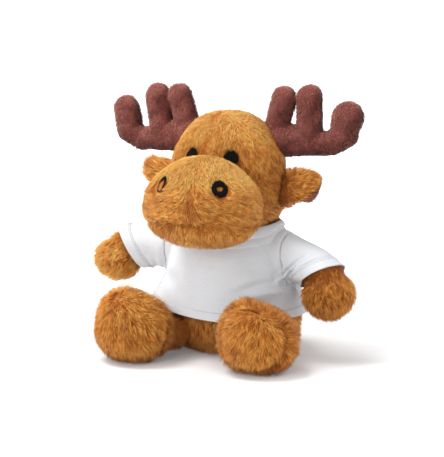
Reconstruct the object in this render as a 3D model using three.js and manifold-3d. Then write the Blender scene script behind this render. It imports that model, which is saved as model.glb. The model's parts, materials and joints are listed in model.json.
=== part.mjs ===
// Plush reindeer, seated, in a plain T-shirt. Millimetres, +Z up, facing -Y, its left side on +X.
// The origin is the middle of the flat seat that the toy rests on.
// Every stuffed part is a fur or velour bag with its own filling, and each limb has a round root
// that sits in a hollow of the part it is sewn to, so that it can swing about its seam.

import * as THREE from "three";
import { ConvexGeometry } from "three/addons/geometries/ConvexGeometry.js";
import { mergeVertices } from "three/addons/utils/BufferGeometryUtils.js";
import Module from "manifold-3d";

const wasm = await Module();
wasm.setup();

// Fabrics and clearances
const FUR_SKIN = 2.5;
const VELOUR_SKIN = 1.2;
const SHIRT_CLOTH = 1.2;
const THREAD_PILE = 1.0;
const SEAM_GAP = 0.3;
const FILL_GAP = 0.6;
const SWING_GAP = 0.6;
const FLAT_DEPTH = 0.5;

// Torso, a pear that is pressed flat under the seat
const TORSO_WIDTH = 102;
const TORSO_DEPTH = 90;
const TORSO_HEIGHT = 90.5;
const TORSO_TAPER = 0.08;
const TORSO_SQUARENESS = 3.8;
const BAG_WIDTH = 62;
const BAG_DEPTH = 40;
const BAG_HEIGHT = 22;
const BAG_SETBACK = 12;
const BAG_SETTLE = 4;

// Neck and head
const NECK_RADIUS = 22;
const NECK_SINK = 1;
const NECK_SETBACK = 2;
const HEAD_WIDTH = 84;
const HEAD_DEPTH = 82;
const HEAD_HEIGHT = 92;
const HEAD_TAPER = 0.03;
const HEAD_SQUARENESS = 2.4;
const HEAD_RISE = 45.5;
const HEAD_FORWARD = 9;
const NOD_UP_DEG = 10;
const NOD_DOWN_DEG = 4;
const MUZZLE_WIDTH = 88;
const MUZZLE_DEPTH = 68;
const MUZZLE_HEIGHT = 67;
const MUZZLE_TAPER = 0.1;
const MUZZLE_SQUARENESS = 2.2;
const MUZZLE_FORWARD = 47;
const MUZZLE_DROP = 15.5;

// Embroidered eyes and nostrils
const EYE_DIAMETER = 9.5;
const EYE_SPACING = 33;
const EYE_RISE = 17.5;
const NOSTRIL_SPACING = 45;
const NOSTRIL_RISE = 14;
const NOSTRIL_WIDTH = 11;
const NOSTRIL_HEIGHT = 13.5;
const NOSTRIL_BORE = 4.6;

// Ears, a fur leaf with a velour lining that shows along its lower edge
const EAR_LENGTH = 33;
const EAR_WIDTH = 24.5;
const EAR_THICKNESS = 9;
const EAR_LINING_THICKNESS = 6;
const EAR_LINING_DROP = 4;
const EAR_ROOT = 2;
const EAR_DROP = 10.5;
const EAR_BACK = 3;
const EAR_TILT_DEG = 22;
const EAR_TURN_DEG = 28;
const EAR_FLAP_DEG = 18;

// Antlers, a beam that curls up into the outer tine, with two more tines on it
const ANTLER_RISE = 25;
const ANTLER_BACK = 13;
const ANTLER_SWEEP_DEG = 7;
const LEFT_ANTLER_LIFT_DEG = 5;
const RIGHT_ANTLER_LIFT_DEG = -1;
const ANTLER_FLATNESS = 0.75;
const BEAM_RADIUS = 12.5;
const BEAM_END_RADIUS = 9.5;
const BEAM_LENGTH = 44;
const BEAM_DROP = 2.5;
const OUTER_TINE_OUT = 13.5;
const OUTER_TINE_RISE = 18.5;
const OUTER_TINE_RADIUS = 10.3;
const MIDDLE_TINE_PLACE = 25.5;
const MIDDLE_TINE_LEAN = 4;
const MIDDLE_TINE_RISE = 28;
const MIDDLE_TINE_RADIUS = 9.5;
const INNER_TINE_PLACE = 1.2;
const INNER_TINE_LEAN = 8;
const INNER_TINE_RISE = 29;
const INNER_TINE_RADIUS = 9;
const ANTLER_SWING_DEG = 15;

// Arms and sleeves
const SHOULDER_DROP = 15;
const SHOULDER_FORWARD = 4;
const SHOULDER_PROUD = 1.2;
const ARM_RADIUS = 14;
const WRIST_RADIUS = 15.2;
const ARM_LENGTH = 35.5;
const LEFT_ARM_DROOP_DEG = 20;
const RIGHT_ARM_DROOP_DEG = 2.5;
const ARM_FORWARD_DEG = 12;
const PAW_RADIUS = 17.6;
const PAW_REACH = 8;
const PAW_DROP = 10;
const SLEEVE_LENGTH = 35.5;
const SLEEVE_TUCK = 7;
const LEFT_SLEEVE_SLANT_DEG = 18;
const RIGHT_SLEEVE_SLANT_DEG = 27;
const ARM_RAISE_DEG = 40;
const ARM_LOWER_DEG = 12;

// Legs, each a short thigh with a wide foot and a round sole panel at its front
const HIP_HEIGHT = 20;
const HIP_SPACING = 62;
const LEG_RADIUS = 16.5;
const LEG_LENGTH = 36;
const LEG_SPLAY_DEG = 30;
const FOOT_WIDTH = 58;
const FOOT_HEIGHT = 52;
const FOOT_DEPTH = 54;
const FOOT_SQUARENESS = 2.4;
const SOLE_OFFSET = 13;
const LEG_RAISE_DEG = 15;
const LEG_LOWER_DEG = 20;

// Shirt
const HEM_HEIGHT = 30;
const HEM_FLARE = 3.5;
const ARMPIT_DROP = 24;
const COLLAR_RADIUS = 35.5;
const COLLAR_BAND = 2;
const COLLAR_RISE = 5.5;
const COLLAR_DEPTH = 21;
const COLLAR_TILT_DEG = 12;
const SIDE_SEAM_FORWARD = 2;

// How finely the round forms are divided: inner surfaces, which never show, are coarser
const BODY_FACETS = { sectors: 18, rings: 8 };
const FOOT_FACETS = { sectors: 14, rings: 8 };
const NECK_FACETS = { sectors: 20, rings: 14 };
const NECK_ROOM_FACETS = { sectors: 12, rings: 8 };
const SMALL_FACETS = { sectors: 10, rings: 8 };
const LIMB_FACETS = { sectors: 12, capSteps: 3 };
const TINE_FACETS = { sectors: 8, capSteps: 2 };
const INNER_FACETS = { sectors: 8, rings: 6, capSteps: 2 };
const INNER_TINE_FACETS = { sectors: 4, capSteps: 1 };
const ROOM_FACETS = { sectors: 8, capSteps: 2 };
const COLLAR_SECTORS = 20;
const PATCH_SECTORS = 12;
const FAR = 400;

const SIDES = { left: 1, right: -1 };
const UPRIGHT = new THREE.Vector3(0, 0, 1);
const BACKWARD = new THREE.Vector3(0, 1, 0);
const AT_ORIGIN = new THREE.Matrix4();
const rad = THREE.MathUtils.degToRad;

// A closed three.js geometry as a solid that can be cut and joined
function solidOf(geometry) {
  const bare = new THREE.BufferGeometry();
  bare.setAttribute("position", geometry.getAttribute("position").clone());
  if (geometry.index) bare.setIndex(geometry.index.clone());
  const merged = mergeVertices(bare, 1e-4);
  const corners = merged.index.array;
  const kept = [];
  for (let i = 0; i < corners.length; i += 3) {
    const [a, b, c] = corners.subarray(i, i + 3);
    if (a !== b && b !== c && c !== a) kept.push(a, b, c);
  }
  const vertProperties = merged.getAttribute("position").array;
  return new wasm.Manifold(new wasm.Mesh({ numProp: 3, vertProperties, triVerts: Uint32Array.from(kept) }));
}

function geometryOf(solid) {
  const mesh = solid.getMesh();
  const geometry = new THREE.BufferGeometry();
  geometry.setAttribute("position", new THREE.BufferAttribute(mesh.vertProperties, 3));
  geometry.setIndex(new THREE.BufferAttribute(mesh.triVerts, 1));
  geometry.computeVertexNormals();
  return geometry;
}

function joined(solids) {
  return solids.reduce((whole, next) => whole.add(next));
}

function cutBy(solid, cutters) {
  return cutters.reduce((left, cutter) => left.subtract(cutter), solid);
}

// A rounded form about its own middle: an ellipsoid at squareness 2, narrower on top by its taper
function plump(form, grow = 0) {
  const { half, taper = 0, squareness = 2 } = form;
  const { sectors, rings } = grow < 0 ? INNER_FACETS : (form.facets ?? BODY_FACETS);
  const ball = new THREE.SphereGeometry(1, sectors, rings).rotateX(Math.PI / 2);
  const place = ball.getAttribute("position");
  const power = 2 / squareness;
  for (let i = 0; i < place.count; i++) {
    const flat = Math.hypot(place.getX(i), place.getY(i));
    const spread = flat > 0 ? Math.pow(flat, power) / flat : 0;
    const rise = Math.sign(place.getZ(i)) * Math.pow(Math.abs(place.getZ(i)), power);
    const girth = spread * (1 - taper * rise);
    const x = place.getX(i) * girth * (half.x + grow);
    const y = place.getY(i) * girth * (half.y + grow);
    place.setXYZ(i, x, y, rise * (half.z + grow));
  }
  return ball;
}

// The share of its full width that such a form has at a height above its middle
function girthAt(form, height) {
  const { half, taper = 0, squareness = 2 } = form;
  const rise = height / half.z;
  const level = Math.pow(Math.abs(rise), squareness / 2);
  return Math.pow(Math.sqrt(1 - level * level), 2 / squareness) * (1 - taper * rise);
}

// A limb along +Y with round ends, its root ball about the origin
function roundLimb(rootRadius, endRadius, length, facets) {
  const { sectors, capSteps } = facets;
  const profile = [];
  for (let i = 0; i <= capSteps; i++) {
    const turn = (i / capSteps) * (Math.PI / 2);
    profile.push(new THREE.Vector2(rootRadius * Math.sin(turn), -rootRadius * Math.cos(turn)));
  }
  for (let i = 0; i <= capSteps; i++) {
    const turn = (i / capSteps) * (Math.PI / 2);
    profile.push(new THREE.Vector2(endRadius * Math.cos(turn), length + endRadius * Math.sin(turn)));
  }
  return new THREE.LatheGeometry(profile, sectors);
}

const limbFacets = (grow) => (grow < 0 ? INNER_FACETS : LIMB_FACETS);

// A box that fills the space between two levels along one axis
function slab(axis, from, to) {
  const size = { x: FAR, y: FAR, z: FAR, [axis]: to - from };
  const middle = { x: 0, y: 0, z: 0, [axis]: (from + to) / 2 };
  return new THREE.BoxGeometry(size.x, size.y, size.z).translate(middle.x, middle.y, middle.z);
}

// A frame at a point with +Y along a limb, and +Z as near to a given direction as can be
function limbFrame(origin, along, towards = UPRIGHT) {
  const y = along.clone().normalize();
  const z = towards.clone().addScaledVector(y, -towards.dot(y)).normalize();
  const x = new THREE.Vector3().crossVectors(y, z);
  return new THREE.Matrix4().makeBasis(x, y, z).setPosition(origin);
}

function placed(geometry, frame) {
  return solidOf(geometry.applyMatrix4(frame));
}

// A few-sided limb that a round one fits inside
function limbAround(rootRadius, endRadius, length) {
  const reach = 1 / Math.cos(Math.PI / ROOM_FACETS.sectors);
  return solidOf(roundLimb(rootRadius * reach, endRadius * reach, length, ROOM_FACETS));
}

// The room that a limb needs while it swings: the hull of the limb low, midway and high
function swingRoom(limb, frame, turnAbout, lowDeg, highDeg) {
  const poses = [lowDeg, (lowDeg + highDeg) / 2, highDeg];
  const place = geometryOf(limb).getAttribute("position");
  const points = [];
  for (const pose of poses) {
    const turned = frame.clone().multiply(turnAbout(rad(pose)));
    for (let i = 0; i < place.count; i++) {
      points.push(new THREE.Vector3().fromBufferAttribute(place, i).applyMatrix4(turned));
    }
  }
  return solidOf(new ConvexGeometry(points));
}

const aboutX = (angle) => new THREE.Matrix4().makeRotationX(angle);
const aboutY = (angle) => new THREE.Matrix4().makeRotationY(angle);
const aboutZ = (angle) => new THREE.Matrix4().makeRotationZ(angle);

// Materials
const fabric = (color, roughness) => new THREE.MeshStandardMaterial({ color, roughness, metalness: 0 });
const furFabric = fabric(0xbf8440, 0.95);
const velour = fabric(0x6d423d, 0.9);
const shirtKnit = fabric(0xf2f2f5, 0.85);
const blackThread = fabric(0x16120f, 0.6);
const fibreFill = fabric(0xf3f0e8, 1);
const bagCloth = fabric(0xded6c4, 0.9);

// The toy's groups: one for each part that moves on its own
const toy = new THREE.Group();
const neckGroup = new THREE.Group();
const headGroup = new THREE.Group();
toy.add(neckGroup);
neckGroup.add(headGroup);

function addPiece(group, name, solid, material) {
  toy.updateMatrixWorld(true);
  const geometry = geometryOf(solid).applyMatrix4(group.matrixWorld.clone().invert());
  const mesh = new THREE.Mesh(geometry, material);
  mesh.name = name;
  group.add(mesh);
}

function addGroup(parent, frame) {
  const group = new THREE.Group();
  parent.updateMatrixWorld(true);
  group.applyMatrix4(parent.matrixWorld.clone().invert().multiply(frame));
  parent.add(group);
  return group;
}

// Forms of the torso, head and muzzle, and where their middles are
const torsoForm = {
  half: new THREE.Vector3(TORSO_WIDTH / 2, TORSO_DEPTH / 2, TORSO_HEIGHT / 2),
  taper: TORSO_TAPER,
  squareness: TORSO_SQUARENESS,
};
const headForm = {
  half: new THREE.Vector3(HEAD_WIDTH / 2, HEAD_DEPTH / 2, HEAD_HEIGHT / 2),
  taper: HEAD_TAPER,
  squareness: HEAD_SQUARENESS,
};
const muzzleForm = {
  half: new THREE.Vector3(MUZZLE_WIDTH / 2, MUZZLE_DEPTH / 2, MUZZLE_HEIGHT / 2),
  taper: MUZZLE_TAPER,
  squareness: MUZZLE_SQUARENESS,
};
const torsoTop = TORSO_HEIGHT - FLAT_DEPTH;
const torsoMiddle = new THREE.Vector3(0, 0, TORSO_HEIGHT / 2 - FLAT_DEPTH);
const neckPivot = new THREE.Vector3(0, NECK_SETBACK, torsoTop - NECK_SINK);
const headMiddle = neckPivot.clone().add(new THREE.Vector3(0, -HEAD_FORWARD, HEAD_RISE));
const muzzleMiddle = headMiddle.clone().add(new THREE.Vector3(0, -MUZZLE_FORWARD, -MUZZLE_DROP));

const at = (point) => new THREE.Matrix4().setPosition(point);
const torso = (grow) => placed(plump(torsoForm, grow), at(torsoMiddle));
const head = (grow) => placed(plump(headForm, grow), at(headMiddle));
const muzzle = (grow) => placed(plump(muzzleForm, grow), at(muzzleMiddle));
const neckBall = (radius, facets) => {
  return placed(plump({ half: new THREE.Vector3().setScalar(radius), facets }), at(neckPivot));
};
// The hollow's flats, not its corners, stay clear of the ball while it turns
const halfTurns = [Math.PI / NECK_ROOM_FACETS.sectors, Math.PI / NECK_ROOM_FACETS.rings / 2];
const flatShare = Math.cos(halfTurns[0]) * Math.cos(halfTurns[1]);
const neckHollow = neckBall((NECK_RADIUS + SEAM_GAP) / flatShare, NECK_ROOM_FACETS);
const floorBelow = solidOf(slab("z", -FAR, 0));

// A point of such a form, given how far it is to the side and how high above the middle
function frontPoint(form, middle, side, height) {
  const girth = girthAt(form, height);
  const across = side / (form.half.x * girth);
  const forward = form.half.y * girth * Math.sqrt(1 - across * across);
  return new THREE.Vector3(side, -forward, height).add(middle);
}

function sidePoint(form, middle, sign, back, height) {
  const girth = girthAt(form, height);
  const along = back / (form.half.y * girth);
  const out = form.half.x * girth * Math.sqrt(1 - along * along);
  return new THREE.Vector3(sign * out, back, height).add(middle);
}

// Arm: a straight upper arm and a paw that hangs a little lower, gathered by the cuff
function armFrame(sign, droopDeg) {
  const height = torsoTop - SHOULDER_DROP - torsoMiddle.z;
  const shoulder = sidePoint(torsoForm, torsoMiddle, sign, -SHOULDER_FORWARD, height);
  shoulder.x += sign * SHOULDER_PROUD;
  const level = Math.cos(rad(droopDeg));
  const along = new THREE.Vector3(
    sign * level * Math.cos(rad(ARM_FORWARD_DEG)),
    -level * Math.sin(rad(ARM_FORWARD_DEG)),
    -Math.sin(rad(droopDeg)),
  );
  return limbFrame(shoulder, along);
}

function upperArm(grow) {
  return roundLimb(ARM_RADIUS + grow, WRIST_RADIUS + grow, ARM_LENGTH, limbFacets(grow));
}

function armSolid(frame, grow) {
  const upper = solidOf(upperArm(grow));
  const ball = { half: new THREE.Vector3().setScalar(PAW_RADIUS), facets: SMALL_FACETS };
  const paw = solidOf(plump(ball, grow).translate(0, ARM_LENGTH + PAW_REACH, -PAW_DROP));
  const cuffEnd = SLEEVE_LENGTH + SEAM_GAP - Math.min(grow, 0);
  const whole = upper.add(paw.subtract(solidOf(slab("y", -FAR, cuffEnd))));
  return placed(geometryOf(whole), frame);
}

function sleeveSolid(frame, slantDeg) {
  const tube = solidOf(upperArm(SEAM_GAP + SHIRT_CLOTH)).subtract(solidOf(upperArm(SEAM_GAP)));
  const root = solidOf(slab("y", -FAR, -SLEEVE_TUCK));
  const cuffPlace = at(new THREE.Vector3(0, SLEEVE_LENGTH, 0)).multiply(aboutX(-rad(slantDeg)));
  const beyondCuff = placed(slab("y", 0, FAR), cuffPlace);
  return placed(geometryOf(cutBy(tube, [root, beyondCuff])), frame);
}

function armRoom(frame) {
  const grow = SEAM_GAP + SHIRT_CLOTH + SWING_GAP;
  const limb = limbAround(ARM_RADIUS + grow, WRIST_RADIUS + grow, ARM_LENGTH);
  return swingRoom(limb, frame, aboutX, -ARM_LOWER_DEG, ARM_RAISE_DEG);
}

// Leg: a thigh that runs into a wide foot, with a round sole panel in front
function legFrame(sign) {
  const hip = frontPoint(torsoForm, torsoMiddle, (sign * HIP_SPACING) / 2, HIP_HEIGHT - torsoMiddle.z);
  const rise = FOOT_HEIGHT / 2 - FLAT_DEPTH - HIP_HEIGHT;
  const level = Math.sqrt(LEG_LENGTH * LEG_LENGTH - rise * rise);
  const out = sign * level * Math.sin(rad(LEG_SPLAY_DEG));
  return limbFrame(hip, new THREE.Vector3(out, -level * Math.cos(rad(LEG_SPLAY_DEG)), rise));
}

function legSolid(frame, grow) {
  const thigh = roundLimb(LEG_RADIUS + grow, LEG_RADIUS + grow, LEG_LENGTH, limbFacets(grow));
  const half = new THREE.Vector3(FOOT_WIDTH / 2, FOOT_DEPTH / 2, FOOT_HEIGHT / 2);
  const footForm = { half, squareness: FOOT_SQUARENESS, facets: FOOT_FACETS };
  const foot = plump(footForm, grow).translate(0, LEG_LENGTH, 0);
  return placed(thigh, frame).add(placed(foot, frame));
}

function legRoom(frame) {
  const limb = limbAround(LEG_RADIUS + SWING_GAP, FOOT_WIDTH / 2 + SWING_GAP, LEG_LENGTH);
  return swingRoom(limb, frame, aboutX, -LEG_LOWER_DEG, LEG_RAISE_DEG);
}

// Antler: a beam, the outer tine it curls into, and two tines that stand on it
function antlerFrame(sign) {
  const root = sidePoint(headForm, headMiddle, sign, ANTLER_BACK, ANTLER_RISE);
  return at(root).multiply(aboutZ(sign * rad(ANTLER_SWEEP_DEG)));
}

function antlerSolid(sign, frame, grow) {
  const liftDeg = sign > 0 ? LEFT_ANTLER_LIFT_DEG : RIGHT_ANTLER_LIFT_DEG;
  const lift = aboutY(-sign * rad(liftDeg));
  const root = new THREE.Vector3(0, 0, 0);
  const elbow = new THREE.Vector3(BEAM_LENGTH, 0, -BEAM_DROP);
  const outerTip = elbow.clone().add(new THREE.Vector3(OUTER_TINE_OUT, 0, OUTER_TINE_RISE));
  const middleFoot = new THREE.Vector3(MIDDLE_TINE_PLACE, 0, 0);
  const middleTip = new THREE.Vector3(MIDDLE_TINE_PLACE + MIDDLE_TINE_LEAN, 0, MIDDLE_TINE_RISE);
  const innerFoot = new THREE.Vector3(INNER_TINE_PLACE, 0, 0);
  const innerTip = new THREE.Vector3(INNER_TINE_PLACE + INNER_TINE_LEAN, 0, INNER_TINE_RISE);
  const lengths = [
    [root, elbow, BEAM_RADIUS, BEAM_END_RADIUS],
    [elbow, outerTip, BEAM_END_RADIUS, OUTER_TINE_RADIUS],
    [middleFoot, middleTip, MIDDLE_TINE_RADIUS, MIDDLE_TINE_RADIUS],
    [innerFoot, innerTip, INNER_TINE_RADIUS, INNER_TINE_RADIUS],
  ];
  const mirror = new THREE.Vector3(sign, 1, 1);
  const pieces = lengths.map(([from, to, fromRadius, toRadius]) => {
    const start = from.clone().multiply(mirror);
    const along = to.clone().multiply(mirror).sub(start);
    const facets = grow < 0 ? INNER_TINE_FACETS : TINE_FACETS;
    const limb = roundLimb(fromRadius + grow, toRadius + grow, along.length(), facets);
    limb.applyMatrix4(limbFrame(start, along, BACKWARD));
    return placed(limb.scale(1, ANTLER_FLATNESS, 1).applyMatrix4(lift), frame);
  });
  return joined(pieces);
}

function antlerRoom(sign, frame) {
  const limb = antlerSolid(sign, AT_ORIGIN, SWING_GAP);
  return swingRoom(limb, frame, aboutZ, -ANTLER_SWING_DEG, ANTLER_SWING_DEG);
}

// Ear: two leaves sewn face to face, the lining set lower so that its edge shows
function earFrame(sign) {
  const root = sidePoint(headForm, headMiddle, sign, EAR_BACK, -EAR_DROP);
  const along = new THREE.Vector3(sign * Math.cos(rad(EAR_TILT_DEG)), 0, Math.sin(rad(EAR_TILT_DEG)));
  return limbFrame(root, along).multiply(aboutY(-sign * rad(EAR_TURN_DEG)));
}

function earLeaf(frame, thickness, drop, shift, grow) {
  const half = new THREE.Vector3(thickness / 2, EAR_LENGTH / 2, EAR_WIDTH / 2);
  const leaf = plump({ half, facets: SMALL_FACETS }, grow);
  return placed(leaf.translate(shift, EAR_LENGTH / 2 - EAR_ROOT, -drop), frame);
}

const earFur = (frame, grow) => earLeaf(frame, EAR_THICKNESS, 0, 0, grow);
const earLining = (sign, frame, grow) => {
  const shift = (-sign * (EAR_THICKNESS - EAR_LINING_THICKNESS / 2)) / 2;
  return earLeaf(frame, EAR_LINING_THICKNESS, EAR_LINING_DROP, shift, grow);
};

function earRoom(sign, frame) {
  const limb = earFur(AT_ORIGIN, SWING_GAP).add(earLining(sign, AT_ORIGIN, SWING_GAP));
  return swingRoom(limb, frame, aboutZ, -EAR_FLAP_DEG, EAR_FLAP_DEG);
}

// Embroidery: a patch of thread that lies on a form's surface, cut out by a short upright cylinder
function patchCutter(point, middle, width, height) {
  const cutter = new THREE.CylinderGeometry(0.5, 0.5, 1, PATCH_SECTORS);
  const away = point.clone().sub(middle);
  cutter.scale(width, away.length(), height);
  return placed(cutter, limbFrame(point, away));
}

const frames = {};
for (const [name, sign] of Object.entries(SIDES)) {
  frames[name] = {
    arm: armFrame(sign, sign > 0 ? LEFT_ARM_DROOP_DEG : RIGHT_ARM_DROOP_DEG),
    leg: legFrame(sign),
    antler: antlerFrame(sign),
    ear: earFrame(sign),
  };
}
const armRooms = Object.keys(SIDES).map((name) => armRoom(frames[name].arm));
const legRooms = Object.keys(SIDES).map((name) => legRoom(frames[name].leg));
const antlerRooms = Object.entries(SIDES).map(([name, sign]) => antlerRoom(sign, frames[name].antler));
const earRooms = Object.entries(SIDES).map(([name, sign]) => earRoom(sign, frames[name].ear));

// Torso: the fur bag, its filling and the pellet bag that weights the seat
function addTorso() {
  const hollows = [neckHollow, ...armRooms, ...legRooms];
  const skin = torso(0).subtract(torso(-FUR_SKIN));
  addPiece(toy, "torso_skin", cutBy(skin, [floorBelow, ...hollows]), furFabric);
  const bagForm = {
    half: new THREE.Vector3(BAG_WIDTH / 2, BAG_DEPTH / 2, BAG_HEIGHT / 2),
    squareness: TORSO_SQUARENESS,
    facets: SMALL_FACETS,
  };
  const inside = torso(-FUR_SKIN - FILL_GAP);
  const bagLevel = FUR_SKIN + FILL_GAP + BAG_HEIGHT / 2 - BAG_SETTLE;
  const bagPlace = at(new THREE.Vector3(0, BAG_SETBACK, bagLevel));
  const bag = (grow) => placed(plump(bagForm, grow), bagPlace);
  addPiece(toy, "torso_stuffing", cutBy(inside, [...hollows, bag(FILL_GAP)]), fibreFill);
  addPiece(toy, "pellet_bag", cutBy(bag(0).intersect(inside), legRooms), bagCloth);
}

// Shirt: front and back panels sewn at the sides, widening to the hem, and a collar band
function shirtSolid(grow) {
  const shape = plump(torsoForm, grow).applyMatrix4(at(torsoMiddle));
  const place = shape.getAttribute("position");
  const armpit = torsoTop - ARMPIT_DROP;
  for (let i = 0; i < place.count; i++) {
    const fall = Math.max(0, (armpit - place.getZ(i)) / (armpit - HEM_HEIGHT));
    const reach = Math.hypot(place.getX(i), place.getY(i));
    const flare = reach > 0 ? 1 + (HEM_FLARE * fall) / reach : 1;
    place.setXY(i, place.getX(i) * flare, place.getY(i) * flare);
  }
  return solidOf(shape);
}

function addShirt() {
  const upright = new THREE.CylinderGeometry(1, 1, FAR, COLLAR_SECTORS).rotateX(Math.PI / 2);
  const column = (radius) => {
    return placed(upright.clone().scale(radius, radius, 1), at(new THREE.Vector3(0, neckPivot.y, 0)));
  };
  const cloth = shirtSolid(SEAM_GAP + SHIRT_CLOTH).subtract(shirtSolid(SEAM_GAP));
  const worn = cutBy(cloth, [
    solidOf(slab("z", -FAR, HEM_HEIGHT)),
    column(COLLAR_RADIUS + SEAM_GAP),
    ...armRooms,
    ...legRooms,
  ]);
  const front = solidOf(slab("y", -FAR, -SIDE_SEAM_FORWARD - SEAM_GAP / 2));
  const back = solidOf(slab("y", -SIDE_SEAM_FORWARD + SEAM_GAP / 2, FAR));
  addPiece(toy, "shirt_front", worn.intersect(front), shirtKnit);
  addPiece(toy, "shirt_back", worn.intersect(back), shirtKnit);
  const ring = column(COLLAR_RADIUS).subtract(column(COLLAR_RADIUS - COLLAR_BAND));
  const brim = at(new THREE.Vector3(0, neckPivot.y, torsoTop + COLLAR_RISE));
  brim.multiply(aboutX(rad(COLLAR_TILT_DEG)));
  const band = ring.intersect(placed(slab("z", -COLLAR_DEPTH, 0), brim));
  addPiece(toy, "shirt_collar", cutBy(band, [torso(SEAM_GAP), ...armRooms]), shirtKnit);
}

function addArm(name, sign) {
  const frame = frames[name].arm;
  const group = addGroup(toy, frame);
  const mouth = placed(slab("y", -FAR, -SLEEVE_TUCK), frame);
  const skin = armSolid(frame, 0).subtract(armSolid(frame, -FUR_SKIN)).subtract(mouth);
  addPiece(group, `arm_${name}_skin`, skin, furFabric);
  addPiece(group, `arm_${name}_stuffing`, armSolid(frame, -FUR_SKIN - FILL_GAP), fibreFill);
  const slantDeg = sign > 0 ? LEFT_SLEEVE_SLANT_DEG : RIGHT_SLEEVE_SLANT_DEG;
  addPiece(group, `sleeve_${name}`, sleeveSolid(frame, slantDeg), shirtKnit);
}

function addLeg(name) {
  const frame = frames[name].leg;
  const group = addGroup(toy, frame);
  const bag = legSolid(frame, 0).subtract(legSolid(frame, -FUR_SKIN)).subtract(floorBelow);
  const soleLevel = LEG_LENGTH + SOLE_OFFSET;
  const mouth = placed(slab("y", -FAR, -LEG_RADIUS + FUR_SKIN * 2), frame);
  const behindSole = placed(slab("y", -FAR, soleLevel - SEAM_GAP / 2), frame);
  const beforeSole = placed(slab("y", soleLevel + SEAM_GAP / 2, FAR), frame);
  addPiece(group, `leg_${name}_skin`, bag.intersect(behindSole).subtract(mouth), furFabric);
  addPiece(group, `sole_${name}`, bag.intersect(beforeSole), furFabric);
  addPiece(group, `leg_${name}_stuffing`, legSolid(frame, -FUR_SKIN - FILL_GAP), fibreFill);
}

// The torso as the head meets it when it nods up or down about the neck
function torsoUnderNod(nodDeg) {
  const turn = at(neckPivot).multiply(aboutX(rad(nodDeg))).multiply(at(neckPivot.clone().negate()));
  return placed(plump(torsoForm, SEAM_GAP), turn.multiply(at(torsoMiddle)));
}

function addHead() {
  neckGroup.position.copy(neckPivot);
  addPiece(neckGroup, "neck_stuffing", neckBall(NECK_RADIUS, NECK_FACETS), fibreFill);
  const nods = [-NOD_DOWN_DEG, NOD_UP_DEG].map(torsoUnderNod);
  const hollows = [neckHollow, ...nods, ...antlerRooms, ...earRooms];
  const skin = head(0).subtract(head(-FUR_SKIN));
  addPiece(headGroup, "head_skin", cutBy(skin, hollows), furFabric);
  addPiece(headGroup, "head_stuffing", cutBy(head(-FUR_SKIN - FILL_GAP), hollows), fibreFill);
  const muzzleBag = muzzle(0).subtract(muzzle(-FUR_SKIN));
  addPiece(headGroup, "muzzle_skin", muzzleBag.subtract(head(SEAM_GAP)), furFabric);
  const muzzleFill = muzzle(-FUR_SKIN - FILL_GAP).subtract(head(SEAM_GAP));
  addPiece(headGroup, "muzzle_stuffing", muzzleFill, fibreFill);
  const onHead = head(SEAM_GAP + THREAD_PILE).subtract(head(SEAM_GAP));
  const onMuzzle = muzzle(SEAM_GAP + THREAD_PILE).subtract(muzzle(SEAM_GAP));
  for (const [name, sign] of Object.entries(SIDES)) {
    const eye = frontPoint(headForm, headMiddle, (sign * EYE_SPACING) / 2, EYE_RISE);
    const eyePatch = onHead.intersect(patchCutter(eye, headMiddle, EYE_DIAMETER, EYE_DIAMETER));
    addPiece(headGroup, `eye_${name}`, eyePatch.subtract(muzzle(SEAM_GAP)), blackThread);
    const nostril = frontPoint(muzzleForm, muzzleMiddle, (sign * NOSTRIL_SPACING) / 2, NOSTRIL_RISE);
    const outer = patchCutter(nostril, muzzleMiddle, NOSTRIL_WIDTH, NOSTRIL_HEIGHT);
    const bore = patchCutter(nostril, muzzleMiddle, NOSTRIL_BORE, NOSTRIL_BORE);
    addPiece(headGroup, `nostril_${name}`, onMuzzle.intersect(outer).subtract(bore), blackThread);
  }
}

function addEar(name, sign) {
  const frame = frames[name].ear;
  const group = addGroup(headGroup, frame);
  addPiece(group, `ear_${name}_fur`, earFur(frame, 0), furFabric);
  const lining = earLining(sign, frame, 0).subtract(earFur(frame, SEAM_GAP));
  addPiece(group, `ear_${name}_lining`, lining, velour);
}

function addAntler(name, sign) {
  const frame = frames[name].antler;
  const group = addGroup(headGroup, frame);
  const bag = antlerSolid(sign, frame, 0).subtract(antlerSolid(sign, frame, -VELOUR_SKIN));
  const front = placed(slab("y", -FAR, -SEAM_GAP / 2), frame);
  const back = placed(slab("y", SEAM_GAP / 2, FAR), frame);
  addPiece(group, `antler_${name}_front`, bag.intersect(front), velour);
  addPiece(group, `antler_${name}_back`, bag.intersect(back), velour);
  addPiece(group, `antler_${name}_stuffing`, antlerSolid(sign, frame, -VELOUR_SKIN - FILL_GAP), fibreFill);
}

addTorso();
addShirt();
addHead();
for (const [name, sign] of Object.entries(SIDES)) {
  addArm(name, sign);
  addLeg(name);
  addEar(name, sign);
  addAntler(name, sign);
}

export default toy;
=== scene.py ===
import json
import math

import bmesh
import bpy
import numpy as np
from mathutils import Matrix, Vector, noise


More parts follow.
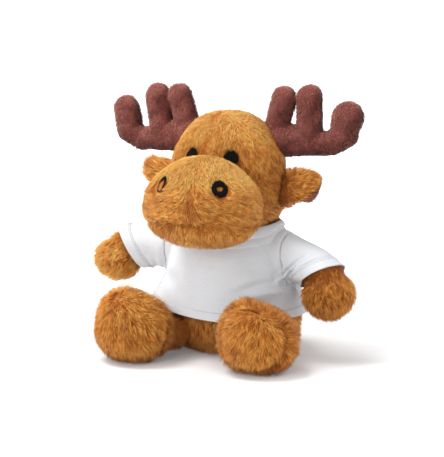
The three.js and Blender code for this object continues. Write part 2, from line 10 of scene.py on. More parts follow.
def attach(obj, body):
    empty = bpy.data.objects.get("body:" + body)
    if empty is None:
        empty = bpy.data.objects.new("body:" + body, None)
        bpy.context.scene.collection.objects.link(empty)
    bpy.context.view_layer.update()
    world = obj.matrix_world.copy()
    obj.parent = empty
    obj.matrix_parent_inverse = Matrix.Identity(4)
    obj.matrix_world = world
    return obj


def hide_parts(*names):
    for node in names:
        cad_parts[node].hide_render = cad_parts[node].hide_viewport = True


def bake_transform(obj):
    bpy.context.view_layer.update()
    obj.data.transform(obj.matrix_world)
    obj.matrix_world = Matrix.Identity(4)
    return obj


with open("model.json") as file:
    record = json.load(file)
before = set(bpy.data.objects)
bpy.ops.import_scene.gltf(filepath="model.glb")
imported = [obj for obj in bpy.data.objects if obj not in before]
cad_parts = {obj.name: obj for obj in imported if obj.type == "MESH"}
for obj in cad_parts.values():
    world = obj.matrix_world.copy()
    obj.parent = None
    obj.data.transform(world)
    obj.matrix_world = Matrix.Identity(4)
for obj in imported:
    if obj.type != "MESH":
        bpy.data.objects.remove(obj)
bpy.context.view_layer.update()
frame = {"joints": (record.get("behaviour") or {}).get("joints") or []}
joint_at = {joint["name"]: Vector(joint["pos_m"]) for joint in frame["joints"]}

# Studio: the toy sits on a white sweep, seen from its left front and a little above.
# A broad soft lamp stands on the left of the camera, and the white room fills the shadows.
VIEW_AZIMUTH = math.radians(23)
VIEW_ELEVATION = math.radians(10.5)
VIEW_DISTANCE = 1.8
VIEW_TARGET = Vector((-0.0031, -0.0119, 0.0922))
LENS_MM = 190.3
SENSOR_MM = 36
FLOOR_SIDE = 14.0
FLOOR_WHITE = 0.86
FLOOR_GLOW = 0.12
FAR_GLOW = 0.9
GLOW_START = 0.12
GLOW_END = 0.5
ROOM_LIGHT = 0.49
LAMPS = (
    ("key_lamp", Vector((-0.85, -0.22, 2.25)), 1.2, 48),
    ("fill_lamp", Vector((-0.50, -2.0, 1.0)), 1.6, 23),
    ("rim_lamp", Vector((1.3, 0.9, 1.3)), 1.2, 8),
)


def node_in(tree, kind, inputs=None, **settings):
    node = tree.nodes.new(kind)
    for name, value in settings.items():
        setattr(node, name, value)
    for name, value in (inputs or {}).items():
        if isinstance(value, bpy.types.NodeSocket):
            tree.links.new(value, node.inputs[name])
        else:
            node.inputs[name].default_value = value
    return node


def output_of(tree, kind, inputs=None, **settings):
    return node_in(tree, kind, inputs, **settings).outputs[0]


def maths(tree, operation, first, second=0.0):
    return output_of(tree, "ShaderNodeMath", {0: first, 1: second}, operation=operation)


def cleared_tree(owner):
    owner.use_nodes = True
    owner.node_tree.nodes.clear()
    return owner.node_tree


def new_material(name):
    material = bpy.data.materials.new(name)
    return material, cleared_tree(material)


def linked(name, data):
    piece = bpy.data.objects.new(name, data)
    bpy.context.scene.collection.objects.link(piece)
    return piece


def soft_lamp(name, place, side, watts):
    lamp = bpy.data.lights.new(name, "AREA")
    lamp.size = side
    lamp.energy = watts
    lit = linked(name, lamp)
    lit.location = place
    lit.rotation_euler = (VIEW_TARGET - place).to_track_quat("-Z", "Y").to_euler()


def seen_straight(tree):
    rays = node_in(tree, "ShaderNodeLightPath").outputs
    mirrored = maths(tree, "MAXIMUM", rays["Is Glossy Ray"], rays["Is Transmission Ray"])
    return maths(tree, "MAXIMUM", rays["Is Camera Ray"], mirrored)


def sweep_material():
    material, tree = new_material("white_sweep")
    white = output_of(tree, "ShaderNodeBsdfDiffuse", {"Color": (FLOOR_WHITE, FLOOR_WHITE, FLOOR_WHITE, 1)})
    spot = node_in(tree, "ShaderNodeTexCoord").outputs["Object"]
    away = node_in(tree, "ShaderNodeVectorMath", {0: spot}, operation="LENGTH").outputs["Value"]
    level = output_of(tree, "ShaderNodeMapRange",
                      {"Value": away, "From Min": GLOW_START, "From Max": GLOW_END,
                       "To Min": FLOOR_GLOW, "To Max": FAR_GLOW}, interpolation_type="SMOOTHSTEP")
    seen = maths(tree, "MULTIPLY", seen_straight(tree), level)
    glow = output_of(tree, "ShaderNodeEmission", {"Strength": seen})
    both = output_of(tree, "ShaderNodeAddShader", {0: white, 1: glow})
    node_in(tree, "ShaderNodeOutputMaterial", {"Surface": both})
    return material


camera_data = bpy.data.cameras.new("camera")
camera_data.lens = LENS_MM
camera_data.sensor_width = SENSOR_MM
camera = linked("camera", camera_data)
towards_camera = Vector((
    math.sin(VIEW_AZIMUTH) * math.cos(VIEW_ELEVATION),
    -math.cos(VIEW_AZIMUTH) * math.cos(VIEW_ELEVATION),
    math.sin(VIEW_ELEVATION),
))
camera.location = VIEW_TARGET + towards_camera * VIEW_DISTANCE
camera.rotation_euler = (-towards_camera).to_track_quat("-Z", "Y").to_euler()
bpy.context.scene.camera = camera
bpy.context.scene.view_settings.view_transform = "Standard"

for lamp_values in LAMPS:
    soft_lamp(*lamp_values)
room = bpy.data.worlds.new("white_room")
room_tree = cleared_tree(room)
room_level = output_of(room_tree, "ShaderNodeMapRange",
                       {"Value": seen_straight(room_tree), "To Min": ROOM_LIGHT, "To Max": 1.0})
room_white = output_of(room_tree, "ShaderNodeBackground", {"Color": (1, 1, 1, 1), "Strength": room_level})
node_in(room_tree, "ShaderNodeOutputWorld", {"Surface": room_white})
bpy.context.scene.world = room

sweep_mesh = bpy.data.meshes.new("sweep")
half_floor = FLOOR_SIDE / 2
floor_corners = [(x * half_floor, y * half_floor, 0) for x, y in ((-1, -1), (1, -1), (1, 1), (-1, 1))]
sweep_mesh.from_pydata(floor_corners, [], [(0, 1, 2, 3)])
sweep_mesh.materials.append(sweep_material())
linked("sweep", sweep_mesh)


# Torso: a pear-shaped bag of short golden plush, stuffed with fibre and weighted in the seat.
# Its hide is knitted backing, and the pile is grown on it in small locks that lie downwards.
# The pile ends about where the solid's own surface is, so the hide lies a few millimetres inside.
SIDES = (("left", 1), ("right", -1))
TORSO_MIDDLE = Vector((0, 0, 0.04475))
TORSO_HALF = Vector((0.051, 0.045, 0.04525))
TORSO_TAPER = 0.08
TORSO_SQUARENESS = 3.8
HIDE_INSET = 0.0026
HIDE_LOWEST = 0.0008
PRESSED_BARE = 0.0015
HEM_HEIGHT = 0.030
HEM_COVERS = 0.006
TORSO_PILE = 0.0068
TORSO_SPACING = 0.00052
HIP_SHADOW = 0.023
GROIN_ASIDE = 0.0205
GROIN_WIDTH = 0.0024
GROIN_FRONT = -0.03
PILE_SPACING = 0.00043
LOCK_SPACING = 0.0016
LOCK_SEED_STEP = 50
SHORTEST_PILE = 0.0012
POINTS_PER_CELL = 1.6
STRAND_WIDTH = 0.026
STRAND_BOW = ((0, 0, 0), (0, 0, 0.6), (0.35, 0, 1))
STRAY = 0.2
LOCK_SHARE = 0.46
OWN_SHARE = 0.40
BROAD_SHARE = 0.14
FUR_VARIETY = 0.9
FLOOR_CLEARANCE = 0.0002
# The root colour is painted shade deep in the pile, between the strands.
FUR_ROOT_SHADE = (0.42, 0.122, 0.013, 1)
FUR_SHADE = (0.52, 0.148, 0.012, 1)
FUR_MIDDLE = (0.97, 0.385, 0.050, 1)
FUR_LIGHT = (1.0, 0.620, 0.160, 1)
FUR_SHEEN = (1.0, 0.78, 0.40, 1)


def plump(bm, middle, half, taper=0.0, squareness=2.0, sectors=72, rings=48, turned=Matrix()):
    power = 2 / squareness
    rows = []
    for i in range(1, rings):
        turn = math.pi * (i / rings - 0.5)
        rise = math.copysign(abs(math.sin(turn)) ** power, math.sin(turn))
        girth = math.cos(turn) ** power * (1 - taper * rise)
        row = []
        for j in range(sectors):
            angle = 2 * math.pi * j / sectors
            across = half.x * girth * math.cos(angle)
            spot = Vector((across, half.y * girth * math.sin(angle), half.z * rise))
            row.append(bm.verts.new(turned @ (middle + spot)))
        rows.append(row)
    foot = bm.verts.new(turned @ (middle - Vector((0, 0, half.z))))
    crown = bm.verts.new(turned @ (middle + Vector((0, 0, half.z))))
    for j in range(sectors):
        k = (j + 1) % sectors
        for low, high in zip(rows, rows[1:]):
            bm.faces.new((low[j], low[k], high[k], high[j]))
        bm.faces.new((foot, rows[0][k], rows[0][j]))
        bm.faces.new((crown, rows[-1][j], rows[-1][k]))


def shaped(name, bm):
    mesh = bpy.data.meshes.new(name)
    bm.to_mesh(mesh)
    bm.free()
    mesh.shade_smooth()
    return linked(name, mesh)


def settled(piece):
    graph = bpy.context.evaluated_depsgraph_get()
    made = bpy.data.meshes.new_from_object(piece.evaluated_get(graph))
    piece.modifiers.clear()
    old = piece.data
    piece.data = made
    bpy.data.meshes.remove(old)
    made.name = piece.name
    return piece


def points_of(piece):
    places = np.empty(len(piece.data.vertices) * 3)
    piece.data.vertices.foreach_get("co", places)
    return places.reshape(-1, 3)


def normals_of(piece):
    outward = np.empty(len(piece.data.vertices) * 3)
    piece.data.vertex_normals.foreach_get("vector", outward)
    return outward.reshape(-1, 3)


def move_points(piece, places):
    piece.data.vertices.foreach_set("co", np.ascontiguousarray(places, dtype=np.float64).ravel())
    piece.data.update()


def lumps(places, scale, seed):
    shift = Vector((seed * 7.31, seed * 3.17, seed * 5.73))
    return np.array([noise.noise(Vector(p) * scale + shift) for p in places])


def bell(value, width):
    return np.exp(-(value / width) ** 2)


def clamped(value):
    return np.clip(value, 0, 1)


def near(places, spot, reach):
    return bell(np.linalg.norm(places - np.array(spot), axis=1), reach)


def tangential(ways, outward):
    along = ways - outward * np.sum(ways * outward, axis=1)[:, None]
    return along / np.maximum(np.linalg.norm(along, axis=1)[:, None], 1e-6)


def store(mesh, name, values):
    values = np.asarray(values, dtype=np.float32)
    kind, field = ("FLOAT_VECTOR", "vector") if values.ndim == 2 else ("FLOAT", "value")
    mesh.attributes.new(name, kind, "POINT").data.foreach_set(field, values.ravel())


def brush(piece, comb, length, part=0.0, ruffle=0.38, tone=0.0, flat=0.0):
    outward = normals_of(piece)
    places = points_of(piece)
    swirl = np.stack([lumps(places, 130, 40 + axis) + 0.8 * lumps(places, 290, 44 + axis)
                      for axis in range(3)], axis=1)
    along = tangential(tangential(comb, outward) + 2 * ruffle * swirl, outward) * (1 + flat)
    store(piece.data, "comb", along)
    store(piece.data, "pile", length)
    store(piece.data, "part", np.zeros(len(places)) + part)
    store(piece.data, "tone", np.zeros(len(places)) + tone)


def new_tree(name, wanted):
    tree = bpy.data.node_groups.new(name, "GeometryNodeTree")
    for socket, kind in [("Geometry", "Geometry"), *wanted, ("Material", "Material")]:
        tree.interface.new_socket(socket, in_out="INPUT", socket_type=f"NodeSocket{kind}")
    tree.interface.new_socket("Geometry", in_out="OUTPUT", socket_type="NodeSocketGeometry")
    return tree, node_in(tree, "NodeGroupInput").outputs


def read(tree, name, kind="FLOAT"):
    return output_of(tree, "GeometryNodeInputNamedAttribute", {"Name": name}, data_type=kind)


def kept(tree, geometry, name, value, kind="FLOAT", domain="POINT"):
    return output_of(tree, "GeometryNodeStoreNamedAttribute",
                     {"Geometry": geometry, "Name": name, "Value": value}, data_type=kind, domain=domain)


def chance(tree, seed, inputs=None):
    drawn = node_in(tree, "FunctionNodeRandomValue", {**(inputs or {}), "Seed": seed}, data_type="FLOAT")
    return drawn.outputs[1]


def vectors(tree, operation, first, second):
    key = "Scale" if operation == "SCALE" else 1
    return output_of(tree, "ShaderNodeVectorMath", {0: first, key: second}, operation=operation)


def aligned(tree, inputs, axis, pivot="AUTO"):
    return output_of(tree, "FunctionNodeAlignRotationToVector", inputs, axis=axis, pivot_axis=pivot)


def finish_tree(tree, geometry, unwanted, material):
    for name in unwanted:
        geometry = output_of(tree, "GeometryNodeRemoveAttribute", {"Geometry": geometry, "Name": name})
    smooth = output_of(tree, "GeometryNodeSetShadeSmooth", {"Geometry": geometry})
    finished = output_of(tree, "GeometryNodeSetMaterial", {"Geometry": smooth, "Material": material})
    node_in(tree, "NodeGroupOutput", {0: finished})


def grain(tree, spot, scale, detail=2.0, roughness=0.5):
    return output_of(tree, "ShaderNodeTexNoise",
                     {"Vector": spot, "Scale": scale, "Detail": detail, "Roughness": roughness})


def strand_form(tree, width):
    start, middle, end = STRAND_BOW
    bow = output_of(tree, "GeometryNodeCurveQuadraticBezier",
                    {"Resolution": 8, "Start": start, "Middle": middle, "End": end})
    bow = output_of(tree, "GeometryNodeResampleCurve", {"Curve": bow, "Count": 3})
    share = node_in(tree, "GeometryNodeSplineParameter").outputs["Factor"]
    off_middle = maths(tree, "SUBTRACT", maths(tree, "MULTIPLY", share, 2.0), 1.0)
    taper = maths(tree, "SUBTRACT", 1.0, maths(tree, "ABSOLUTE", off_middle))
    section = output_of(tree, "GeometryNodeCurvePrimitiveCircle", {"Resolution": 3, "Radius": width})
    tube = output_of(tree, "GeometryNodeCurveToMesh",
                     {"Curve": bow, "Profile Curve": section, "Scale": taper})
    pointed = output_of(tree, "GeometryNodeMergeByDistance", {"Geometry": tube, "Distance": 0.001})
    place = node_in(tree, "ShaderNodeSeparateXYZ", {0: output_of(tree, "GeometryNodeInputPosition")})
    return kept(tree, pointed, "along", output_of(tree, "ShaderNodeClamp", {"Value": place.outputs["Z"]}))


def pile_tree():
    floats = ("Spacing", "Lock Spacing", "Lean", "Lock Pull", "Width", "Part", "Variety")
    tree, given = new_tree("plush_pile", [*((name, "Float") for name in floats), ("Seed", "Int")])
    length = read(tree, "pile")
    comb = read(tree, "comb", "FLOAT_VECTOR")
    off_part = maths(tree, "ABSOLUTE", maths(tree, "SUBTRACT", read(tree, "part"), given["Part"]))
    long_enough = maths(tree, "GREATER_THAN", length, SHORTEST_PILE)
    chosen = maths(tree, "MULTIPLY", long_enough, maths(tree, "LESS_THAN", off_part, 0.5))
    scattered = {}
    for role, spacing, step in (("strands", "Spacing", 0), ("locks", "Lock Spacing", LOCK_SEED_STEP)):
        cell = maths(tree, "MULTIPLY", given[spacing], given[spacing])
        scattered[role] = node_in(
            tree, "GeometryNodeDistributePointsOnFaces",
            {"Mesh": given["Geometry"], "Distance Min": given[spacing],
             "Density Max": maths(tree, "DIVIDE", POINTS_PER_CELL, cell),
             "Density Factor": chosen, "Seed": maths(tree, "ADD", given["Seed"], step)},
            distribute_method="POISSON").outputs
    position = output_of(tree, "GeometryNodeInputPosition")
    locks = scattered["locks"]["Points"]
    nearest = output_of(tree, "GeometryNodeSampleNearest", {"Geometry": locks, "Sample Position": position})
    middle = output_of(tree, "GeometryNodeSampleIndex",
                       {"Geometry": locks, "Value": position, "Index": nearest}, data_type="FLOAT_VECTOR")
    lock_tone = maths(tree, "MULTIPLY", chance(tree, 3, {"ID": nearest}), LOCK_SHARE)
    own_tone = maths(tree, "MULTIPLY", chance(tree, 5), OWN_SHARE)
    broad_tone = maths(tree, "MULTIPLY", grain(tree, position, 70.0), BROAD_SHARE)
    mixed = maths(tree, "ADD", maths(tree, "ADD", lock_tone, own_tone), broad_tone)
    varied = maths(tree, "MULTIPLY", maths(tree, "SUBTRACT", mixed, 0.5), given["Variety"])
    tone = maths(tree, "ADD", maths(tree, "ADD", read(tree, "tone"), 0.5), varied)
    points = kept(tree, scattered["strands"]["Points"], "shade",
                  output_of(tree, "ShaderNodeClamp", {"Value": tone}))
    points = kept(tree, points, "to_lock", vectors(tree, "SUBTRACT", middle, position), "FLOAT_VECTOR")
    stray = output_of(tree, "FunctionNodeRandomValue", {0: (-STRAY,) * 3, 1: (STRAY,) * 3, "Seed": 9},
                      data_type="FLOAT_VECTOR")
    upright = vectors(tree, "SCALE", scattered["strands"]["Normal"],
                      maths(tree, "SUBTRACT", 1.0, given["Lean"]))
    leaning = vectors(tree, "ADD", upright, vectors(tree, "SCALE", comb, given["Lean"]))
    raised = aligned(tree, {"Vector": vectors(tree, "ADD", leaning, stray)}, "Z")
    combed = aligned(tree, {"Rotation": raised, "Vector": comb}, "X", "Z")
    uneven = chance(tree, 11, {2: 0.72, 3: 1.28})
    grown = output_of(tree, "GeometryNodeInstanceOnPoints",
                      {"Points": points, "Instance": strand_form(tree, given["Width"]),
                       "Rotation": combed, "Scale": maths(tree, "MULTIPLY", length, uneven)})
    real = output_of(tree, "GeometryNodeRealizeInstances", {"Geometry": grown})
    along = read(tree, "along")
    drawn = maths(tree, "MULTIPLY", maths(tree, "POWER", along, 1.5), given["Lock Pull"])
    to_lock = vectors(tree, "SCALE", read(tree, "to_lock", "FLOAT_VECTOR"), drawn)
    gathered = output_of(tree, "GeometryNodeSetPosition", {"Geometry": real, "Offset": to_lock})
    above_floor = vectors(tree, "MAXIMUM", position, (-1.0, -1.0, FLOOR_CLEARANCE))
    rested = output_of(tree, "GeometryNodeSetPosition", {"Geometry": gathered, "Position": above_floor})
    spot = output_of(tree, "ShaderNodeCombineXYZ", {"X": read(tree, "shade"), "Y": along})
    mapped = kept(tree, rested, "OFBake", spot, "FLOAT2", "CORNER")
    finish_tree(tree, mapped, ("to_lock", "comb", "pile", "part", "tone"), given["Material"])
    return tree


def run_tree(name, tree, source, values):
    piece = linked(name, source.copy())
    made = piece.modifiers.new(tree.name, "NODES")
    made.node_group = tree
    for socket in tree.interface.items_tree:
        if socket.in_out == "INPUT" and socket.name in values:
            made[socket.identifier] = values[socket.name]
    return settled(piece)


def toned(tree, factor, *stops):
    ramp = node_in(tree, "ShaderNodeValToRGB", {"Fac": factor})
    marks = ramp.color_ramp.elements
    for mark, (place, colour) in zip(marks, (stops[0], stops[-1])):
        mark.position = place
        mark.color = colour
    for place, colour in stops[1:-1]:
        marks.new(place).color = colour
    return ramp.outputs[0]


def bumped(tree, height, strength, distance):
    return output_of(tree, "ShaderNodeBump", {"Height": height, "Strength": strength, "Distance": distance})


def coated(tree, colour, roughness, values):
    shader = output_of(tree, "ShaderNodeBsdfPrincipled",
                       {"Base Color": colour, "Roughness": roughness, **values})
    node_in(tree, "ShaderNodeOutputMaterial", {"Surface": shader})


def pile_material(name, root, dark, middle, light, sheen, bloom, gloss):
    material, tree = new_material(name)
    along = node_in(tree, "ShaderNodeAttribute", attribute_name="along").outputs["Fac"]
    shade = node_in(tree, "ShaderNodeAttribute", attribute_name="shade").outputs["Fac"]
    tones = toned(tree, shade, (0.16, dark), (0.45, middle), (0.76, light))
    # The strands darken towards their roots: painted shade deep in the pile.
    depth = output_of(tree, "ShaderNodeMapRange", {"Value": along, "From Min": 0.02, "From Max": 0.5},
                      interpolation_type="SMOOTHSTEP")
    colour = node_in(tree, "ShaderNodeMix", {"Factor": depth, 6: root, 7: tones}, data_type="RGBA")
    coated(tree, colour.outputs[2], 0.48, {"Specular IOR Level": gloss, "Sheen Weight": bloom,
                                           "Sheen Roughness": 0.45, "Sheen Tint": sheen})
    return material


def hide_material():
    material, tree = new_material("golden_plush_backing")
    spot = node_in(tree, "ShaderNodeTexCoord").outputs["Object"]
    mottle = grain(tree, spot, 320.0, 4.0)
    # The backing is real, but its dark root colours are painted shade showing between the strands.
    tones = toned(tree, mottle, (0.3, FUR_ROOT_SHADE), (0.75, FUR_SHADE))
    coated(tree, tones, 0.9, {"Normal": bumped(tree, mottle, 0.6, 0.001)})
    return material


plush_tree = pile_tree()
plush_pile = pile_material("golden_plush_pile", FUR_ROOT_SHADE, FUR_SHADE, FUR_MIDDLE, FUR_LIGHT, FUR_SHEEN,
                           bloom=0.22, gloss=0.42)
plush_hide = hide_material()


def dressed(piece, material):
    piece.data.materials.clear()
    piece.data.materials.append(material)


def furred(hide, body, nodes, seed, lean=0.5, pull=0.65, spacing=PILE_SPACING, parts=("",),
           bends=False):
    values = {"Spacing": spacing, "Lock Spacing": LOCK_SPACING, "Lean": lean, "Lock Pull": pull,
              "Width": STRAND_WIDTH, "Variety": FUR_VARIETY, "Seed": seed, "Material": plush_pile}
    piles = []
    for number, part in enumerate(parts):
        name = hide.name.replace("_hide", f"_pile{part}")
        piles.append(run_tree(name, plush_tree, hide.data, {**values, "Part": float(number)}))
    dressed(hide, plush_hide)
    for piece in piles if bends else (hide, *piles):
        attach(piece, body)
    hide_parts(*nodes)


inset = Vector((HIDE_INSET, HIDE_INSET, HIDE_INSET))
torso_bm = bmesh.new()
plump(torso_bm, TORSO_MIDDLE, TORSO_HALF - inset, TORSO_TAPER, TORSO_SQUARENESS, 96, 64)
torso_hide = shaped("torso_hide", torso_bm)
torso_points = points_of(torso_hide)
torso_points[:, 2] = np.maximum(torso_points[:, 2], HIDE_LOWEST)
move_points(torso_hide, torso_points)
torso_bare = (torso_points[:, 2] > HEM_HEIGHT + HEM_COVERS) | (torso_points[:, 2] < PRESSED_BARE)
torso_comb = torso_points * np.array((0.4, 0.4, 0)) + np.array((0, 0, -0.04))
# Painted shade: the torso's pile is darkened overall, more round the hips where the legs join.
hip_shadows = [near(torso_points, joint_at[f"leg_{side}_raise"], HIP_SHADOW) for side, sign in SIDES]
torso_painted_shade = -0.10 - 0.4 * np.maximum(*hip_shadows)
# In the groin crease the pile is really shorter, and its darkening there is painted shade.
groin = bell(np.abs(torso_points[:, 0]) - GROIN_ASIDE, GROIN_WIDTH) * (torso_points[:, 1] < GROIN_FRONT)
torso_length = np.where(torso_bare, 0, TORSO_PILE * (1 - 0.45 * groin))
brush(torso_hide, torso_comb, torso_length, tone=torso_painted_shade - 0.45 * groin)
furred(torso_hide, "torso", ["torso_skin", "torso_stuffing", "pellet_bag"], seed=1,
       spacing=TORSO_SPACING)


# Legs: each a short stuffed thigh that swells into a wide round foot, with a round sole sewn on in front.
# The sole's seam draws the hide in, and the pile springs from a whorl near the top of the sole.
LEG_RADIUS = 0.0165
LEG_LENGTH = 0.036
LEG_SPLAY = math.radians(30)
FOOT_HALF = Vector((0.029, 0.027, 0.026))
FOOT_SQUARENESS = 2.4
FOOT_SINK = 0.0005
FOOT_SIDEWAYS = (0.92, 0.39, 0)
FOOT_ASIDE = {"left": 0.0004, "right": -0.0016}
FOOT_SLOPE = {"left": 0.0095, "right": 0.0056}
ANKLE = 0.012
FOOT_BLEND = 0.018
FOOT_SPREAD = 0.022
INSTEP_BLEND = 0.014
INSTEP_RISE = 0.03
SOLE_OFFSET = {"left": 0.015, "right": -0.010}
SOLE_LEAN = {"left": 0.38, "right": 0.0}
SOLE_SEAM_DEPTH = 0.0030
SOLE_SEAM_WIDTH = 0.0022
UNDER_HEM_DROP = 0.003
UNDER_HEM_LENGTH = 0.018
THIGH_SHOWN = 0.007
UNDER_HEM_BARE = 0.004
LEG_ROOT_BARE = 0.002
SEAM_SHADOW = 0.004
THIGH_SHADOW_END = 0.024
THIGH_SHADOW_BLEND = 0.02
FLOOR_SHADOW = 0.014
LEG_PILE = 0.0070
LEG_LUMP = 0.0012
WHORL_RISE = 0.011
WHORL_REACH = 0.03
FUR_VOXEL = 0.0016


def melted(name, bm, voxel, rounds):
    piece = shaped(name, bm)
    skin = piece.modifiers.new("one_skin", "REMESH")
    skin.mode = "VOXEL"
    skin.voxel_size = voxel
    ease = piece.modifiers.new("ease", "SMOOTH")
    ease.factor = 0.5
    ease.iterations = rounds
    settled(piece)
    piece.data.shade_smooth()
    return piece


def limb_frame(origin, along):
    y = along.normalized()
    z = (Vector((0, 0, 1)) - y * y.z).normalized()
    x = y.cross(z)
    turned = Matrix((x, y, z)).transposed().to_4x4()
    return Matrix.Translation(origin) @ turned


def lathed(bm, profile, turned, sectors=40):
    angles = [2 * math.pi * j / sectors for j in range(sectors)]
    rows = []
    for radius, height in profile:
        ring = [Vector((radius * math.cos(angle), height, radius * math.sin(angle))) for angle in angles]
        rows.append([bm.verts.new(turned @ spot) for spot in ring])
    for low, high in zip(rows, rows[1:]):
        for j in range(sectors):
            k = (j + 1) % sectors
            bm.faces.new((low[k], low[j], high[j], high[k]))
    bm.faces.new(rows[0])
    bm.faces.new(rows[-1][::-1])


def limb_profile(root, end, length, steps=10):
    turns = [math.pi / 2 * i / steps for i in range(1, steps + 1)]
    rounded_root = [(root * math.sin(t), -root * math.cos(t)) for t in turns]
    rounded_end = [(end * math.cos(t), length + end * math.sin(t)) for t in [0, *turns[:-1]]]
    return rounded_root + rounded_end


def local_points(places, turned):
    back = np.array(turned.inverted())
    return places @ back[:3, :3].T + back[:3, 3]


def turned_vectors(ways, turned):
    return ways @ np.array(turned)[:3, :3].T


def pushed(places, outward, amount):
    return places + outward * amount[:, None]


for side, sign in SIDES:
    hip = joint_at[f"leg_{side}_raise"]
    rise = FOOT_HALF.z - FOOT_SINK - hip.z
    level = math.sqrt(LEG_LENGTH ** 2 - rise ** 2)
    leg_way = Vector((sign * level * math.sin(LEG_SPLAY), -level * math.cos(LEG_SPLAY), rise))
    leg_frame = limb_frame(hip, leg_way)
    leg_bm = bmesh.new()
    thigh = LEG_RADIUS - HIDE_INSET
    lathed(leg_bm, limb_profile(thigh, thigh, LEG_LENGTH), leg_frame)
    foot_middle = Vector((0, LEG_LENGTH, 0))
    plump(leg_bm, foot_middle, FOOT_HALF - inset, squareness=FOOT_SQUARENESS, turned=leg_frame)
    leg_hide = melted(f"leg_{side}_hide", leg_bm, FUR_VOXEL, 6)
    places = points_of(leg_hide)
    outward = normals_of(leg_hide)
    own = local_points(places, leg_frame)
    along = own[:, 1]
    past_seam = along - LEG_LENGTH - SOLE_OFFSET[side] + SOLE_LEAN[side] * own[:, 0]
    seam = bell(past_seam, SOLE_SEAM_WIDTH)
    places = pushed(places, outward, -SOLE_SEAM_DEPTH * seam)
    aside = (places - np.array(leg_frame @ foot_middle)) @ np.array(FOOT_SIDEWAYS)
    high = clamped((places[:, 2] - FOOT_HALF.z) / FOOT_HALF.z)
    places = places + np.outer(clamped((along - ANKLE) / FOOT_BLEND) * FOOT_ASIDE[side], FOOT_SIDEWAYS)
    places[:, 2] = places[:, 2] - FOOT_SLOPE[side] * high * np.clip(aside / FOOT_SPREAD + 0.1, -0.3, 1)
    places = pushed(places, outward, LEG_LUMP * lumps(places, 55, 2 + sign))
    pressed = HEM_HEIGHT - UNDER_HEM_DROP + INSTEP_RISE * clamped((along - ANKLE) / INSTEP_BLEND) ** 2
    places[:, 2] = np.clip(places[:, 2], HIDE_LOWEST, pressed)
    move_points(leg_hide, places)
    whorl = np.array((0, LEG_LENGTH + FOOT_HALF.y, WHORL_RISE))
    from_whorl = (own - whorl) / WHORL_REACH + np.array((0, 0, -0.7))
    from_seam = np.stack([own[:, 0] / WHORL_REACH, np.full(len(own), -0.8), own[:, 2] / WHORL_REACH - 0.5],
                         axis=1)
    on_sole = (past_seam > 0)[:, None]
    comb = turned_vectors(np.where(on_sole, from_whorl, from_seam), leg_frame)
    tuft = seam * clamped(2 * high)
    length = LEG_PILE * (1 - 0.5 * seam + 0.35 * tuft)
    under_hem = (along < UNDER_HEM_LENGTH) & (places[:, 2] > HEM_HEIGHT - UNDER_HEM_BARE)
    if side == "right":
        length = np.where(under_hem & (along > THIGH_SHOWN), 0.55 * length, length)
        under_hem = under_hem & (along < THIGH_SHOWN)
    length = np.where((places[:, 2] < PRESSED_BARE) | (along < LEG_ROOT_BARE) | under_hem, 0, length)
    # Painted light and shade: the foot's top is lighter, and the pile is darker overall, along the sole seam,
    # behind the seam, on the thigh and towards the floor.
    behind = clamped(-past_seam / SEAM_SHADOW - 0.3)
    thigh_shade = clamped((THIGH_SHADOW_END - along) / THIGH_SHADOW_BLEND)
    low = clamped(1 - places[:, 2] / FLOOR_SHADOW)
    leg_painted_light = 0.08 * high - 0.10 - 0.22 * seam - 0.32 * thigh_shade - 0.40 * low - 0.18 * behind
    brush(leg_hide, comb, length, tone=leg_painted_light, flat=-0.75 * tuft[:, None])
    furred(leg_hide, f"leg_{side}", [f"leg_{side}_skin", f"sole_{side}", f"leg_{side}_stuffing"],
           seed=10 + sign)


# Arms: each a stuffed tube of plush that ends in a round paw, worn in a short sleeve.
# The cuff gathers the wrist, so the paw swells out below it, with its pile brushed towards the tip.
ARM_RADIUS = 0.014
WRIST_RADIUS = 0.0152
ARM_LENGTH = 0.0355
ARM_FORWARD = math.radians(12)
ARM_DROOP = {"left": math.radians(20), "right": math.radians(2.5)}
PAW_HALF = {"left": Vector((0.0176, 0.0196, 0.0184)), "right": Vector((0.0176, 0.0176, 0.0152))}
PAW_PLACE = {"left": Vector((0, ARM_LENGTH + 0.0064, -0.0112)),
             "right": Vector((0, ARM_LENGTH + 0.0075, -0.0098))}
WRIST_END = {"left": WRIST_RADIUS - 0.0010, "right": WRIST_RADIUS - 0.0018}
SLEEVE_LENGTH = {"left": 0.0343, "right": 0.0322}
SLEEVE_SLANT = {"left": math.radians(34), "right": math.radians(27)}
SLEEVE_FACE = {"left": math.radians(-13), "right": 0.0}
ARM_PILE = 0.0070
ARM_LUMP = 0.001
# Painted light and shade: the right arm's pile is lightened and the left arm's darkened.
ARM_PAINTED_LIGHT = {"left": -0.18, "right": 0.12}
CUFF_SHADOW = 0.010
CUFF_PRESSES = 0.02
WRIST_TOP = 0.012
PAW_REACH = 0.030
SLEEVE_COVERS = 0.003


def past_plane(places, place, way):
    return (places - np.array(place)) @ np.array(way)


